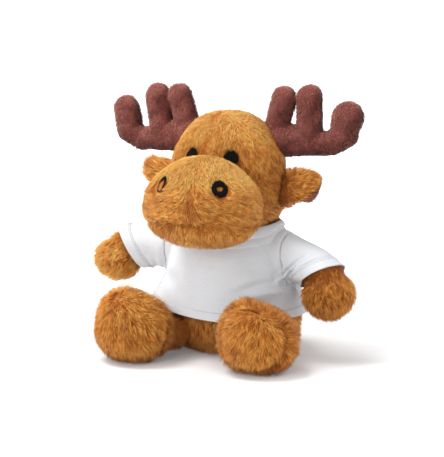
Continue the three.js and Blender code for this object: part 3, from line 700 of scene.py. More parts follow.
arm_frames = {}
cuff_planes = {}
arm_hides = {}
for side, sign in SIDES:
    droop = ARM_DROOP[side]
    arm_way = Vector((sign * math.cos(droop) * math.cos(ARM_FORWARD),
                      -math.cos(droop) * math.sin(ARM_FORWARD), -math.sin(droop)))
    arm_frame = limb_frame(joint_at[f"arm_{side}_raise"], arm_way)
    cuff_turn = Matrix.Rotation(SLEEVE_FACE[side], 3, "Z") @ Matrix.Rotation(-SLEEVE_SLANT[side], 3, "X")
    cuff_way = arm_frame.to_3x3() @ (cuff_turn @ Vector((0, 1, 0)))
    arm_frames[side] = arm_frame
    cuff_planes[side] = (arm_frame @ Vector((0, SLEEVE_LENGTH[side], 0)), cuff_way)
    arm_bm = bmesh.new()
    arm_profile = limb_profile(ARM_RADIUS - HIDE_INSET, WRIST_END[side] - HIDE_INSET, ARM_LENGTH)
    lathed(arm_bm, arm_profile, arm_frame)
    paw = PAW_HALF[side] - inset
    plump(arm_bm, PAW_PLACE[side], paw, turned=arm_frame, sectors=40, rings=28)
    arm_hide = melted(f"arm_{side}_hide", arm_bm, FUR_VOXEL, 5)
    places = points_of(arm_hide)
    places = pushed(places, normals_of(arm_hide), ARM_LUMP * lumps(places, 70, 5 + sign))
    move_points(arm_hide, places)
    own = local_points(places, arm_frame)
    tip = np.array((0, PAW_PLACE[side].y + 0.5 * paw.y, PAW_PLACE[side].z + 0.4 * paw.z))
    comb = turned_vectors((own - tip) / PAW_REACH + np.array((0, 0.9, -0.4)), arm_frame)
    beyond = past_plane(places, *cuff_planes[side])
    length = ARM_PILE * np.clip(0.7 + beyond / CUFF_PRESSES, 0.5, 1)
    shaded = clamped(1 - beyond / CUFF_SHADOW)
    length = length * (1 - 0.2 * clamped(own[:, 2] / WRIST_TOP) * shaded)
    # Painted shade also darkens the pile towards the cuff.
    brush(arm_hide, comb, np.where(beyond < -SLEEVE_COVERS, 0, length), ruffle=0.6,
          tone=ARM_PAINTED_LIGHT[side] - 0.16 * shaded)
    furred(arm_hide, f"arm_{side}", [f"arm_{side}_skin", f"arm_{side}_stuffing"], seed=20 + sign,
           bends=True)
    arm_hides[side] = arm_hide


# Neck: the stuffed ball of plush that the head turns on, sewn into the top of the torso.
# It is seen only as a dark ring of short fur inside the collar.
NECK_HALF = Vector((0.0285, 0.0285, 0.014))
NECK_PILE = 0.0035
NECK_BARE = 0.004
NECK_SPACING = 0.0011
neck_pivot = joint_at["head_turn"]
neck_bm = bmesh.new()
plump(neck_bm, neck_pivot, NECK_HALF, sectors=64, rings=24)
neck_hide = shaped("neck_hide", neck_bm)
neck_points = points_of(neck_hide)
neck_comb = (neck_points - np.array(neck_pivot)) + np.array((0, 0, 0.02))
brush(neck_hide, neck_comb, np.where(neck_points[:, 2] > neck_pivot.z + NECK_BARE, NECK_PILE, 0))
furred(neck_hide, "neck", ["neck_stuffing"], seed=30, spacing=NECK_SPACING)


# Head: a tall egg of plush, closely stuffed, with the eyes' threads drawing the brow in at two points.
# Its pile is short on the crown, and lies back over the cheeks.
HEAD_MIDDLE = neck_pivot + Vector((0, -0.009, 0.0455))
HEAD_HALF = Vector((0.042, 0.041, 0.046))
HEAD_FORM = {"taper": 0.03, "squareness": 2.4}
HEAD_PILE = 0.0061
HEAD_RISE = 0.046
HEAD_LUMP = 0.0008
EYE_DIAMETER = 0.0106
EYE_HEIGHT = 0.0136
EYE_ASIDE = {1: 0.0160, -1: -0.0150}
EYE_RISE = 0.0158
EYE_DENT = 0.0036
EYE_DENT_WIDTH = 0.009
EYE_SEAT = -0.0016
SOCKET_WIDTH = 0.0095
BROW_ABOVE_EYE = Vector((0, -0.002, 0.0105))
BROW_SWELL = 0.0012
BROW_REACH = 0.008
BROW_SEAM_PLACE = Vector((0, -0.03, 0.036))
BROW_SEAM_DEPTH = 0.0025
BROW_SEAM_WIDTH = 0.0018
BROW_SEAM_REACH = 0.016
SLIT_PLACE = Vector((-0.001, -0.026, 0.0375))
SLIT_REACH = 0.0045
SLIT_WIDTH = 0.0011
STREAK_PLACE = Vector((0, -0.038, 0.024))
STREAK_ASIDE = 0.005
STREAK_WIDTH = 0.0012
STREAK_REACH = 0.014
FACE_MIDDLE = 0.001
JOWL_SWELL = 0.0038
JOWL_DROP = 0.028
JOWL_HEIGHT = 0.012
CHEEK_ASIDE = 0.030
TEMPLE_SWELL = 0.0016
TEMPLE_RISE = 0.010
TEMPLE_HEIGHT = 0.011
TEMPLE_ASIDE = 0.004
CROWN_SWELL = 0.0018
CROWN_LIGHT = 0.035
EYE_EDGE = 0.45
NECK_COVERS = 0.019
BEHIND_FACE = 0.004
MUZZLE_MIDDLE = HEAD_MIDDLE + Vector((0, -0.047, -0.0155))
MUZZLE_HALF = Vector((0.044, 0.034, 0.0335))
MUZZLE_FORM = {"taper": 0.1, "squareness": 2.2}


def front_point(middle, half, aside, height, taper, squareness):
    rise = height / half.z
    level = abs(rise) ** (squareness / 2)
    girth = math.sqrt(1 - level * level) ** (2 / squareness) * (1 - taper * rise)
    across = aside / (half.x * girth)
    forward = half.y * girth * math.sqrt(1 - across * across)
    return middle + Vector((aside, -forward, height))


def inside_form(places, middle, half, taper, squareness):
    rel = places - np.array(middle)
    rise = np.clip(rel[:, 2] / half.z, -1, 1)
    level = np.sqrt(np.maximum(1 - np.abs(rise) ** squareness, 0))
    girth = level ** (2 / squareness) * (1 - taper * rise)
    return np.hypot(rel[:, 0] / half.x, rel[:, 1] / half.y) < girth


head_hide_half = HEAD_HALF - inset
head_bm = bmesh.new()
plump(head_bm, HEAD_MIDDLE, head_hide_half, **HEAD_FORM, sectors=112, rings=80)
head_hide = shaped("head_hide", head_bm)
head_points = points_of(head_hide)
head_outward = normals_of(head_hide)
eye_points = {sign: front_point(HEAD_MIDDLE, head_hide_half, EYE_ASIDE[sign], EYE_RISE, **HEAD_FORM)
              for side, sign in SIDES}


def near_eyes(reach, shift=Vector()):
    return [near(head_points, spot + shift, reach) for spot in eye_points.values()]


eye_dents = sum(near_eyes(EYE_DENT_WIDTH))
brow_seam = bell(head_points[:, 0], BROW_SEAM_WIDTH)
brow_seam = brow_seam * near(head_points, HEAD_MIDDLE + BROW_SEAM_PLACE, BROW_SEAM_REACH)
head_points = pushed(head_points, head_outward, -(EYE_DENT * eye_dents + BROW_SEAM_DEPTH * brow_seam))
aside, forward, up = (head_points - np.array(HEAD_MIDDLE)).T
jowls = bell(up + JOWL_DROP, JOWL_HEIGHT) * clamped(np.abs(aside) / CHEEK_ASIDE)
temples = clamped(np.abs(aside + TEMPLE_ASIDE) / CHEEK_ASIDE - 0.2)
temples = bell(up - TEMPLE_RISE, TEMPLE_HEIGHT) * temples
crown = clamped(up / HEAD_RISE) ** 3
brows = sum(near_eyes(BROW_REACH, BROW_ABOVE_EYE))
swell = JOWL_SWELL * jowls + BROW_SWELL * brows + TEMPLE_SWELL * temples + CROWN_SWELL * crown
head_points = pushed(head_points, head_outward, swell + HEAD_LUMP * lumps(head_points, 45, 9))
move_points(head_hide, head_points)
under_muzzle = inside_form(head_points, MUZZLE_MIDDLE, MUZZLE_HALF - inset * 2, **MUZZLE_FORM)
at_eye = np.maximum(*near_eyes(EYE_DIAMETER * 0.5)) > EYE_EDGE
at_neck = np.linalg.norm(head_points - np.array(neck_pivot), axis=1) < NECK_COVERS
aside, forward, up = (head_points - np.array(HEAD_MIDDLE)).T
forehead = clamped(-forward / 0.03) * clamped(up / 0.02)
head_comb = np.stack([aside * 8, 0.8 - 0.9 * forehead, -0.8 - 0.4 * forehead], axis=1)
streaks = bell(np.abs(aside - FACE_MIDDLE) - STREAK_ASIDE, STREAK_WIDTH)
streaks = streaks * near(head_points, HEAD_MIDDLE + STREAK_PLACE, STREAK_REACH)
slit = near(head_points, HEAD_MIDDLE + SLIT_PLACE, SLIT_REACH) * bell(aside + FACE_MIDDLE, SLIT_WIDTH)
head_length = HEAD_PILE * (1 - 0.25 * clamped(up / HEAD_RISE)) * (1 - 0.35 * clamped(eye_dents))
head_length = head_length * (1 - 0.4 * streaks - 0.4 * slit)
head_length = np.where(under_muzzle | at_eye | at_neck, 0, head_length)
# Painted light and shade: the crown is lighter, and the pile darkens in the eye sockets and over the head's
# left side.
# The brow streaks and the slit have really shorter pile, and their darkening is painted shade.
socket_shade = np.maximum(*near_eyes(SOCKET_WIDTH))
head_painted_light = 0.26 * clamped(up / CROWN_LIGHT) - 0.35 * socket_shade - 0.3 * streaks - 0.6 * slit
head_painted_light = head_painted_light - 0.22 * clamped(aside / 0.03 - 0.2)
brush(head_hide, head_comb, head_length, part=forward > BEHIND_FACE, ruffle=0.4, tone=head_painted_light,
      flat=0.2 + 0.6 * clamped(up / CROWN_LIGHT)[:, None])
furred(head_hide, "head", ["head_skin", "head_stuffing"], seed=40, lean=0.58, pull=0.57,
       parts=("_front", "_behind"))


# Muzzle: a broad stuffed pillow of plush in front of the head, creased down its middle and along the mouth.
# The pile is brushed outwards from the crease, and parts at the mouth to hang over the chin.
MUZZLE_PILE = 0.0059
MUZZLE_LUMP = 0.0008
MUZZLE_LIFT = 0.0026
NOSTRIL_SPACING = 0.0435
NOSTRIL_RISE = 0.014
NOSTRIL_SIZE = (0.0132, 0.0138)
NOSTRIL_NARROW = {1: 1.0, -1: 0.82}
NOSTRIL_INSIDE = {1: 0.88, -1: 0.72}
NOSTRIL_EDGE = 0.4
MOUTH_DROP = 0.0110
MOUTH_SAG = 0.002
MOUTH_HALF_WIDTH = 0.030
MOUTH_DEPTH = 0.0027
MOUTH_WIDTH = 0.0030
CHIN_BLEND = 0.003
CREASE_DEPTH = 0.0013
CREASE_ASIDE = 0.0025
CREASE_WIDTH = 0.0011
CREASE_TOP = 0.025
CREASE_SPREAD = 0.012
MUZZLE_TOP = 0.010
LOWER_PART = 0.002

muzzle_hide_half = MUZZLE_HALF - inset
muzzle_bm = bmesh.new()
plump(muzzle_bm, MUZZLE_MIDDLE, muzzle_hide_half, **MUZZLE_FORM, sectors=112, rings=80)
muzzle_hide = shaped("muzzle_hide", muzzle_bm)
muzzle_points = points_of(muzzle_hide)
muzzle_outward = normals_of(muzzle_hide)
aside, forward, up = (muzzle_points - np.array(MUZZLE_MIDDLE)).T
upper = clamped(up / MUZZLE_HALF.z)
muzzle_points[:, 2] = muzzle_points[:, 2] + MUZZLE_LIFT * upper
widened = 0.05 * np.minimum(aside, 0) * (1 - upper)
muzzle_points[:, 0] = muzzle_points[:, 0] * (1 - 0.06 * upper ** 2) + widened
in_front = clamped(-forward / MUZZLE_HALF.y)
mouth_line = -MOUTH_DROP - MOUTH_SAG * (aside / MOUTH_HALF_WIDTH) ** 2
mouth_reach = clamped(1.4 - np.abs(aside) / MOUTH_HALF_WIDTH)
mouth = bell(up - mouth_line, MOUTH_WIDTH) * in_front * np.minimum(mouth_reach * 2, 1)
above_mouth = clamped((up - mouth_line) / 0.01 + 0.5)
crease = bell(aside - CREASE_ASIDE, CREASE_WIDTH) * in_front * above_mouth * clamped(1.2 - up / CREASE_TOP)
muzzle_points = pushed(muzzle_points, muzzle_outward, -(CREASE_DEPTH * crease + MOUTH_DEPTH * mouth))
muzzle_points = pushed(muzzle_points, muzzle_outward, MUZZLE_LUMP * lumps(muzzle_points, 50, 12))
move_points(muzzle_hide, muzzle_points)
nostril_points = {}
at_nostril = np.zeros(len(muzzle_points), bool)
in_ring = np.zeros(len(muzzle_points), bool)
for side, sign in SIDES:
    nostril_points[sign] = front_point(MUZZLE_MIDDLE, muzzle_hide_half, sign * NOSTRIL_SPACING / 2,
                                       NOSTRIL_RISE, **MUZZLE_FORM)
    closeness = near(muzzle_points, nostril_points[sign], NOSTRIL_SIZE[1] * 0.5)
    in_ring = in_ring | (closeness > NOSTRIL_INSIDE[sign])
    at_nostril = at_nostril | (closeness > NOSTRIL_EDGE)
in_head = inside_form(muzzle_points, HEAD_MIDDLE, HEAD_HALF - inset * 2, **HEAD_FORM)
spreading = np.tanh((aside - CREASE_ASIDE) / CREASE_SPREAD)
top = clamped((up - MUZZLE_TOP) / MUZZLE_TOP)
chin = clamped((mouth_line - up) / CHIN_BLEND)
muzzle_comb = np.stack([
    (1.0 - 0.6 * top - 0.8 * chin) * spreading + 6 * aside,
    0.3 - 0.7 * top - 0.3 * chin,
    -0.35 - 0.3 * top - 0.7 * chin,
], axis=1)
muzzle_length = MUZZLE_PILE * (1 - 0.2 * mouth - 0.25 * crease) * (1 - 0.25 * top)
muzzle_length = muzzle_length * np.where(in_ring, 0.4, 1)
muzzle_length = np.where((at_nostril & ~in_ring) | in_head, 0, muzzle_length)
# Painted light and shade: the muzzle's top is lighter, and the pile darkens along the mouth and the crease.
# The mouth and crease are really pressed in as grooves.
muzzle_painted_light = 0.42 * top - 0.04 - 0.16 * mouth - 0.30 * crease
brush(muzzle_hide, muzzle_comb, muzzle_length, part=up < LOWER_PART, ruffle=0.4, tone=muzzle_painted_light,
      flat=0.2 + 0.7 * top[:, None])
furred(muzzle_hide, "head", ["muzzle_skin", "muzzle_stuffing"], seed=50, lean=0.57, pull=0.57,
       parts=("_upper", "_lower"))


# Eyes and nostrils: satin stitch in black thread, close rows of raised stitches sewn through the plush.
# An eye is a tall oval patch, and a nostril is a ring that leaves a little plush showing in its middle.
THREAD_BLACK = (0.003, 0.0025, 0.0025, 1)
STITCH_WIDTH = 0.00062
STITCH_LIFT = 0.0016
EYE_CROWN = 0.0009
RING_STITCHES = 44
RING_LIFT = 0.0004
NOSTRIL_BORE = {1: (0.0048, 0.0034), -1: (0.0060, 0.0086)}


def sew(tree, points, run, out, reach, width, fineness):
    laid = aligned(tree, {"Vector": run}, "X")
    faced = aligned(tree, {"Rotation": laid, "Vector": out}, "Z", "X")
    bead = output_of(tree, "GeometryNodeMeshIcoSphere", {"Radius": 1.0, "Subdivisions": fineness})
    size = output_of(tree, "ShaderNodeCombineXYZ", {"X": reach, "Y": width, "Z": width})
    sewn = output_of(tree, "GeometryNodeInstanceOnPoints",
                     {"Points": points, "Instance": bead, "Rotation": faced, "Scale": size})
    return output_of(tree, "GeometryNodeRealizeInstances", {"Geometry": sewn})


def satin_stitches():
    tree, given = new_tree("satin_stitches", [("Width", "Float")])
    run = read(tree, "run", "FLOAT_VECTOR")
    out = read(tree, "out", "FLOAT_VECTOR")
    real = sew(tree, given["Geometry"], run, out, read(tree, "reach"), given["Width"], 2)
    finish_tree(tree, real, ("run", "out", "reach"), given["Material"])
    return tree


def thread_material(name, colour, roughness, gloss):
    material, tree = new_material(name)
    twist = grain(tree, node_in(tree, "ShaderNodeTexCoord").outputs["Object"], 2600.0)
    dark = tuple(c * 0.6 for c in colour[:3]) + (1,)
    light = tuple(min(1, c * 1.4) for c in colour[:3]) + (1,)
    coated(tree, toned(tree, twist, (0, dark), (1, light)), roughness,
           {"Specular IOR Level": gloss, "Normal": bumped(tree, twist, 0.4, 0.0002)})
    return material


satin_tree = satin_stitches()
black_thread = thread_material("black_thread", THREAD_BLACK, 0.55, 0.06)


def satin(name, rows, node):
    mesh = bpy.data.meshes.new(name)
    mesh.from_pydata([row[0] for row in rows], [], [])
    for column, key in ((1, "run"), (2, "out"), (3, "reach")):
        store(mesh, key, [row[column] for row in rows])
    patch = run_tree(name, satin_tree, mesh, {"Width": STITCH_WIDTH, "Material": black_thread})
    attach(patch, "head")
    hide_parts(node)


def patch_axes(spot, middle):
    out = (spot - middle).normalized()
    across = out.cross(Vector((0, 0, 1))).normalized()
    return out, across, across.cross(out)


for side, sign in SIDES:
    spot = eye_points[sign]
    out, across, upward = patch_axes(spot, HEAD_MIDDLE)
    rows = []
    count = round(EYE_DIAMETER / (STITCH_WIDTH * 1.5))
    for i in range(count):
        level = ((i + 0.5) / count - 0.5) * EYE_DIAMETER
        reach = EYE_HEIGHT / EYE_DIAMETER * math.sqrt((EYE_DIAMETER / 2) ** 2 - level ** 2)
        reach = reach * (1 + 0.12 * noise.noise(Vector((i * 0.8, sign, 0.7))))
        lift = EYE_SEAT + STITCH_LIFT + EYE_CROWN * (reach / EYE_DIAMETER)
        rows.append((spot + across * level + out * lift, upward, out, reach))
    satin(f"eye_{side}_satin", rows, f"eye_{side}")

    spot = nostril_points[sign]
    out, across, upward = patch_axes(spot, MUZZLE_MIDDLE)
    rows = []
    for i in range(RING_STITCHES):
        angle = 2 * math.pi * i / RING_STITCHES
        way = across * (math.cos(angle) * NOSTRIL_NARROW[sign] * NOSTRIL_SIZE[0] / 2)
        way = way + upward * (math.sin(angle) * NOSTRIL_SIZE[1] / 2)
        way = way * (1 + 0.09 * noise.noise(Vector((i * 0.9, sign * 5.0, 0.3))))
        inner = across * (math.cos(angle) * NOSTRIL_BORE[sign][0] / 2)
        inner = inner + upward * (math.sin(angle) * NOSTRIL_BORE[sign][1] / 2)
        inner = inner * (1 + (0.4 + 0.15 * sign) * noise.noise(Vector((i * 0.7, 3.0, sign * 2.0))))
        centre = (way + inner) / 2
        droop = out * (centre.length ** 2 / (2 * MUZZLE_HALF.y))
        place = spot + centre + out * (STITCH_LIFT + RING_LIFT) - droop
        rows.append((place, way.normalized(), out, (way.length - inner.length) / 2))
    satin(f"nostril_{side}_satin", rows, f"nostril_{side}")


# Ears: a leaf of plush sewn face to face with a leaf of velour, which shows along the lower edge.
# The leaf is broad where it is sewn to the side of the head, and cups a little towards its tip.
EAR_LENGTH = 0.033
EAR_WIDTH = 0.0245
EAR_THICKNESS = 0.009
EAR_INSET = 0.002
EAR_ROOT = 0.002
EAR_TILT = {"left": math.radians(18), "right": math.radians(22)}
EAR_TURN = math.radians(28)
EAR_PILE = 0.0056
EAR_UPPER_ROOT = {"left": 1.38, "right": 1.2}
EAR_LOWER_ROOT = {"left": 1.35, "right": 1.0}
EAR_TIP_HEIGHT = 0.45
EAR_TIP_LIFT = 0.0035
EAR_CUP = 0.003
EAR_CUP_REACH = 0.012
EAR_ROOT_DRAW = 0.003
EAR_ROOT_SHADOW = 0.007
EAR_SINK = {"left": 0.0012, "right": 0.0}
LINING_THICKNESS = 0.006
LINING_DROP = {"left": 0.0015, "right": -0.001}
LINING_BULGE = {"left": 0.0056, "right": 0.0}
LINING_UPPER_ROOT = 1.2
LINING_LOWER_ROOT = 0.7
BULGE_PLACE = 0.72
BULGE_SPREAD = 0.25
BULGE_BLEND = 0.010
NAP_LENGTH = 0.0017
# The way the painted light comes from on the nap: up, to the toy's right and forward.
NAP_PAINTED_LIGHT_WAY = (-0.50, -0.35, 0.79)
NAP_COMB = (0.15, 0.1, -1.0)
NAP_VALUES = {"Spacing": 0.00055, "Lock Spacing": 0.0018, "Lean": 0.42, "Lock Pull": 0.35, "Width": 0.115,
              "Part": 0.0, "Variety": 0.35}
VELOUR_DARK = (0.062, 0.013, 0.010, 1)
VELOUR_MIDDLE = (0.218, 0.058, 0.044, 1)
VELOUR_LIGHT = (0.56, 0.215, 0.170, 1)
VELOUR_SHEEN = (0.85, 0.6, 0.55, 1)
NAP_SHEEN = (0.95, 0.68, 0.60, 1)


def velour_material():
    material, tree = new_material("maroon_velour")
    spot = node_in(tree, "ShaderNodeTexCoord").outputs["Object"]
    nap = grain(tree, spot, 900.0, 3.0, 0.7)
    brushed = grain(tree, spot, 85.0, 3.0)
    tone = output_of(tree, "ShaderNodeMix", {"Factor": 0.42, 2: nap, 3: brushed}, data_type="FLOAT")
    tones = toned(tree, tone, (0.28, VELOUR_DARK), (0.5, VELOUR_MIDDLE), (0.78, VELOUR_LIGHT))
    coated(tree, tones, 0.92, {"Specular IOR Level": 0.15, "Sheen Weight": 0.6, "Sheen Roughness": 0.45,
                               "Sheen Tint": VELOUR_SHEEN, "Normal": bumped(tree, nap, 0.55, 0.0006)})
    return material


def wing_shape(own, middle, half, sign, upper_root, lower_root, lower_bulge, sink):
    inward = np.clip((middle - own[:, 1]) / half, 0, 0.96)
    spread = np.minimum(1 / np.sqrt(1 - inward ** 2), 2.2)
    out = clamped(own[:, 1] / EAR_LENGTH)
    tall = own[:, 2] * spread
    bulge = lower_bulge * bell(out - BULGE_PLACE, BULGE_SPREAD) * clamped(-tall / BULGE_BLEND)
    above = tall * (upper_root - (upper_root - EAR_TIP_HEIGHT) * out)
    below = tall * (lower_root + (1 - lower_root) * out)
    tall = np.where(tall > 0, above, below) - bulge + EAR_TIP_LIFT * out ** 2 - sink
    cupped = own[:, 0] + sign * EAR_CUP * (own[:, 2] / EAR_CUP_REACH) ** 2
    return np.stack([cupped, own[:, 1] - EAR_ROOT_DRAW * inward ** 2, tall], axis=1)


velour = velour_material()
# The nap darkens to the dark velour colour at its roots: painted shade deep in the nap.
velour_nap = pile_material("maroon_velour_nap", VELOUR_DARK, VELOUR_DARK, VELOUR_MIDDLE, VELOUR_LIGHT,
                           NAP_SHEEN, bloom=0.15, gloss=0.25)


def napped(base, body, seed):
    outward = normals_of(base)
    # Painted light and shade: the nap is lighter where it faces up, right and forward, and darker where it
    # faces away.
    comb = np.tile(np.array(NAP_COMB), (len(outward), 1))
    brush(base, comb, np.full(len(outward), NAP_LENGTH), ruffle=1.0,
          tone=0.95 * (outward @ np.array(NAP_PAINTED_LIGHT_WAY)) - 0.26)
    nap = run_tree(base.name.replace("_velour", "_nap"), plush_tree, base.data,
                   {**NAP_VALUES, "Seed": seed, "Material": velour_nap})
    dressed(base, velour)
    for piece in (nap, base):
        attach(piece, body)


for side, sign in SIDES:
    ear_way = Vector((sign * math.cos(EAR_TILT[side]), 0, math.sin(EAR_TILT[side])))
    ear_frame = limb_frame(joint_at[f"ear_{side}_flap"], ear_way)
    ear_frame = ear_frame @ Matrix.Rotation(-sign * EAR_TURN, 4, "Y")
    ear_place = np.array(ear_frame.translation)
    half_length = EAR_LENGTH / 2
    ear_middle = half_length - EAR_ROOT
    leaf = Vector((EAR_THICKNESS / 2 - EAR_INSET, half_length - EAR_INSET, EAR_WIDTH / 2 - EAR_INSET))
    ear_bm = bmesh.new()
    plump(ear_bm, Vector((0, ear_middle, 0)), leaf, sectors=40, rings=28, turned=ear_frame)
    ear_hide = shaped(f"ear_{side}_hide", ear_bm)
    own = local_points(points_of(ear_hide), ear_frame)
    own = wing_shape(own, ear_middle, leaf.y, sign, EAR_UPPER_ROOT[side], EAR_LOWER_ROOT[side], 0,
                     EAR_SINK[side])
    move_points(ear_hide, turned_vectors(own, ear_frame) + ear_place)
    fan = np.stack([np.zeros(len(own)), 0.6 + 20 * own[:, 1], own[:, 2] * 40], axis=1)
    # Painted light and shade: the ear's pile is lighter towards its upper edge and darker at its root.
    ear_painted_light = 6 * own[:, 2] - 0.34 * bell(own[:, 1], EAR_ROOT_SHADOW) - 0.04
    brush(ear_hide, turned_vectors(fan, ear_frame), np.full(len(own), EAR_PILE), tone=ear_painted_light)
    furred(ear_hide, f"ear_{side}", [f"ear_{side}_fur"], seed=60 + sign, lean=0.6)

    lining_bm = bmesh.new()
    shift = -sign * (EAR_THICKNESS - LINING_THICKNESS / 2) / 2
    lining_half = Vector((LINING_THICKNESS / 2, half_length, EAR_WIDTH / 2))
    lining_middle = Vector((shift, ear_middle, -LINING_DROP[side]))
    plump(lining_bm, lining_middle, lining_half, sectors=48, rings=32, turned=ear_frame)
    lining = shaped(f"ear_{side}_velour", lining_bm)
    own = local_points(points_of(lining), ear_frame)
    own = wing_shape(own, ear_middle, lining_half.y, sign, LINING_UPPER_ROOT, LINING_LOWER_ROOT,
                     LINING_BULGE[side], EAR_SINK[side])
    move_points(lining, turned_vectors(own, ear_frame) + ear_place)
    napped(lining, f"ear_{side}", 70 + sign)
    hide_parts(f"ear_{side}_lining")


# Antlers: two panels of maroon velour sewn together round the edge and stuffed, a beam with three tines.
# The edge seam draws a fine groove round the outline, and the filling puckers the crotches between the tines.
ANTLER_SWEEP = math.radians(7)
ANTLER_LIFT = {"left": math.radians(5), "right": math.radians(-1)}
ANTLER_FLATNESS = 0.75
BEAM_RADIUS = 0.0125
MIDDLE_RADIUS = 0.0095
INNER_RADIUS = 0.009
ELBOW = Vector((0.044, 0, -0.0025))
CURL = ELBOW + Vector((0.0095, 0, 0.0075))
OUTER_TIP = ELBOW + Vector((0.0135, 0, 0.0185))
MIDDLE_FOOT = Vector((0.0255, 0, 0))
MIDDLE_TIP = Vector((0.0295, 0, 0.028))
INNER_FOOT = Vector((0.0012, 0, 0))
INNER_TIP = Vector((0.0092, 0, 0.029))
INNER_IN = {"left": Vector((0.0024, 0, -0.0010)), "right": Vector((-0.0014, 0, 0.0006))}
MIDDLE_IN = {"left": Vector((0.0030, 0, -0.0010)), "right": Vector((0, 0, 0.0006))}
INNER_ROOT = {"left": Vector((-0.0034, 0, 0)), "right": Vector((0, 0, 0))}
OUTER_IN = {"left": Vector((0.0034, 0, 0.0026)), "right": Vector((-0.0008, 0, 0))}
ELBOW_OUT = {"left": Vector((-0.0032, 0, -0.0034)), "right": Vector((0.0022, 0, -0.0042))}
ELBOW_GIRTH = {"left": 0.0082, "right": 0.0078}
CURL_GIRTH = {"left": 0.0105, "right": 0.0100}
OUTER_GIRTH = {"left": 0.0116, "right": 0.0104}
ANTLER_VOXEL = 0.0012
ANTLER_SEAM = 0.0009
ANTLER_SEAM_WIDTH = 0.0011
ANTLER_GROW = 0.0001
FINE_PUCKER = 0.0007
BROAD_PUCKER = 0.0009

for side, sign in SIDES:
    mirror = Matrix.Diagonal((sign, 1, 1, 1))
    antler_frame = Matrix.Translation(joint_at[f"antler_{side}_swing"])
    antler_frame = antler_frame @ Matrix.Rotation(sign * ANTLER_SWEEP, 4, "Z")
    antler_frame = antler_frame @ Matrix.Rotation(-sign * ANTLER_LIFT[side], 4, "Y")
    squeeze = Matrix.Diagonal((1, ANTLER_FLATNESS, 1, 1))
    elbow = ELBOW + ELBOW_OUT[side]
    curl = CURL + ELBOW_OUT[side]
    middle_foot = MIDDLE_FOOT - MIDDLE_IN[side] * 0.5
    inner_foot = INNER_FOOT + INNER_ROOT[side] - INNER_IN[side] * 0.5
    antler_bm = bmesh.new()
    for start, end, start_radius, end_radius in (
        (Vector(), elbow, BEAM_RADIUS, ELBOW_GIRTH[side]),
        (elbow, curl, ELBOW_GIRTH[side], CURL_GIRTH[side]),
        (curl, OUTER_TIP - OUTER_IN[side], CURL_GIRTH[side], OUTER_GIRTH[side]),
        (middle_foot, MIDDLE_TIP - MIDDLE_IN[side], MIDDLE_RADIUS, MIDDLE_RADIUS),
        (inner_foot, INNER_TIP - INNER_IN[side], INNER_RADIUS, INNER_RADIUS),
    ):
        begin = mirror @ start
        way = mirror @ end - begin
        turn = way.to_track_quat("Y", "Z").to_matrix().to_4x4()
        tine_frame = antler_frame @ squeeze @ Matrix.Translation(begin) @ turn
        lathed(antler_bm, limb_profile(start_radius, end_radius, way.length), tine_frame)
    antler = melted(f"antler_{side}_velour", antler_bm, ANTLER_VOXEL, 8)
    places = points_of(antler)
    edge = bell(local_points(places, antler_frame)[:, 1], ANTLER_SEAM_WIDTH)
    puckers = FINE_PUCKER * lumps(places, 140, 21 + sign) + BROAD_PUCKER * lumps(places, 60, 24 + sign)
    move_points(antler, pushed(places, normals_of(antler), puckers - ANTLER_SEAM * edge + ANTLER_GROW))
    napped(antler, f"antler_{side}", 80 + sign)
    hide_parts(f"antler_{side}_front", f"antler_{side}_back", f"antler_{side}_stuffing")


# T-shirt: plain white jersey, a body cut wide at the hem and two short set-in sleeves.
# Each edge is turned up once and sewn with a row of small stitches, and the cloth falls in soft folds.
CLOTH = 0.0011
CLOTH_GAP = 0.0008
CLOTH_VOXEL = 0.0016
SLEEVE_EASE = 0.0018
CUFF_EASE = 0.0022
CUFF_PAST_ARM = 0.006
SLEEVE_START = -0.008
SLEEVE_REACH = 0.0215
SLEEVE_FOLD_REACH = 0.024
SLEEVE_EDGE_REACH = 0.026
HEM_FLARE = 0.0035
HEM_ZONE = 0.012
HEM_WAVE = 0.0011
FALL_START = 0.055
FALL_BLEND = 0.025
BROAD_FOLD = 0.0005
FINE_FOLD = 0.00025
OVER_LEG_OUT = 0.0065
OVER_LEG_UP = 0.0088
OVER_LEG_TURN = math.radians(-157)
OVER_LEG_SPREAD = math.radians(42)
OVER_LEG_TOP = 0.060
SEAM_DEPTH = 0.0005
SCORE = 0.00035
TURN_STEP = 0.0003
HEM_GROOVE = 0.0001
CUFF_GROOVE = 0.0009
GROOVE_WIDTH = 0.0008
ARMHOLE_GROOVE = 0.0009
ARMHOLE_GROOVE_WIDTH = 0.0011
ARMPIT_HEIGHT = 0.066
ARMPIT_PLACE = Vector((0, 0.003, -0.017))
ARMPIT_FOLD = 0.0008
ARMPIT_REACH = 0.016
ARMPIT_SPREAD = 0.007
NECK_CUT_HEIGHT = 0.0890
NECK_CUT_LEAN = math.radians(9)
NECK_BACK = 0.002
NECK_REACH = 0.042
NECK_ZONE = 0.07
COLLAR_FOOT_LEAST = 0.078
ARMHOLE = 0.0035
ARMHOLE_LEAN = {"left": math.radians(24), "right": math.radians(2)}
HEM_TURN = 0.0062
CUFF_TURN = 0.0078
CUFF_STITCH_SHIFT = 0.0012
BEND_LEAST = 0.010
CUFF_DROOP = {"left": 0.0042, "right": 0.0}
CUFF_FROM = 0.012
SHOULDER_FROM = -0.012
RIPPLE_PLACE = 0.010
RIPPLE_SPREAD = 0.008
RIPPLE_PITCH = 0.0011
DRAG_PLACE = 0.0144
DRAG_SLOPE = 0.52
DRAG_STRENGTH = 2.5
YOKE_LIFT = 0.0075
YOKE_REACH = 0.032
YOKE_SPREAD = 0.013
YOKE_BASE = 0.070
YOKE_BLEND = 0.012
RIDGE_TURN = math.radians(-33)
RIDGE_SPREAD = math.radians(26)
RIDGE_HEIGHT = 0.0535
RIDGE_SAG = 0.004
RIDGE_OUT = 0.0030
HOLLOW_IN = 0.0020
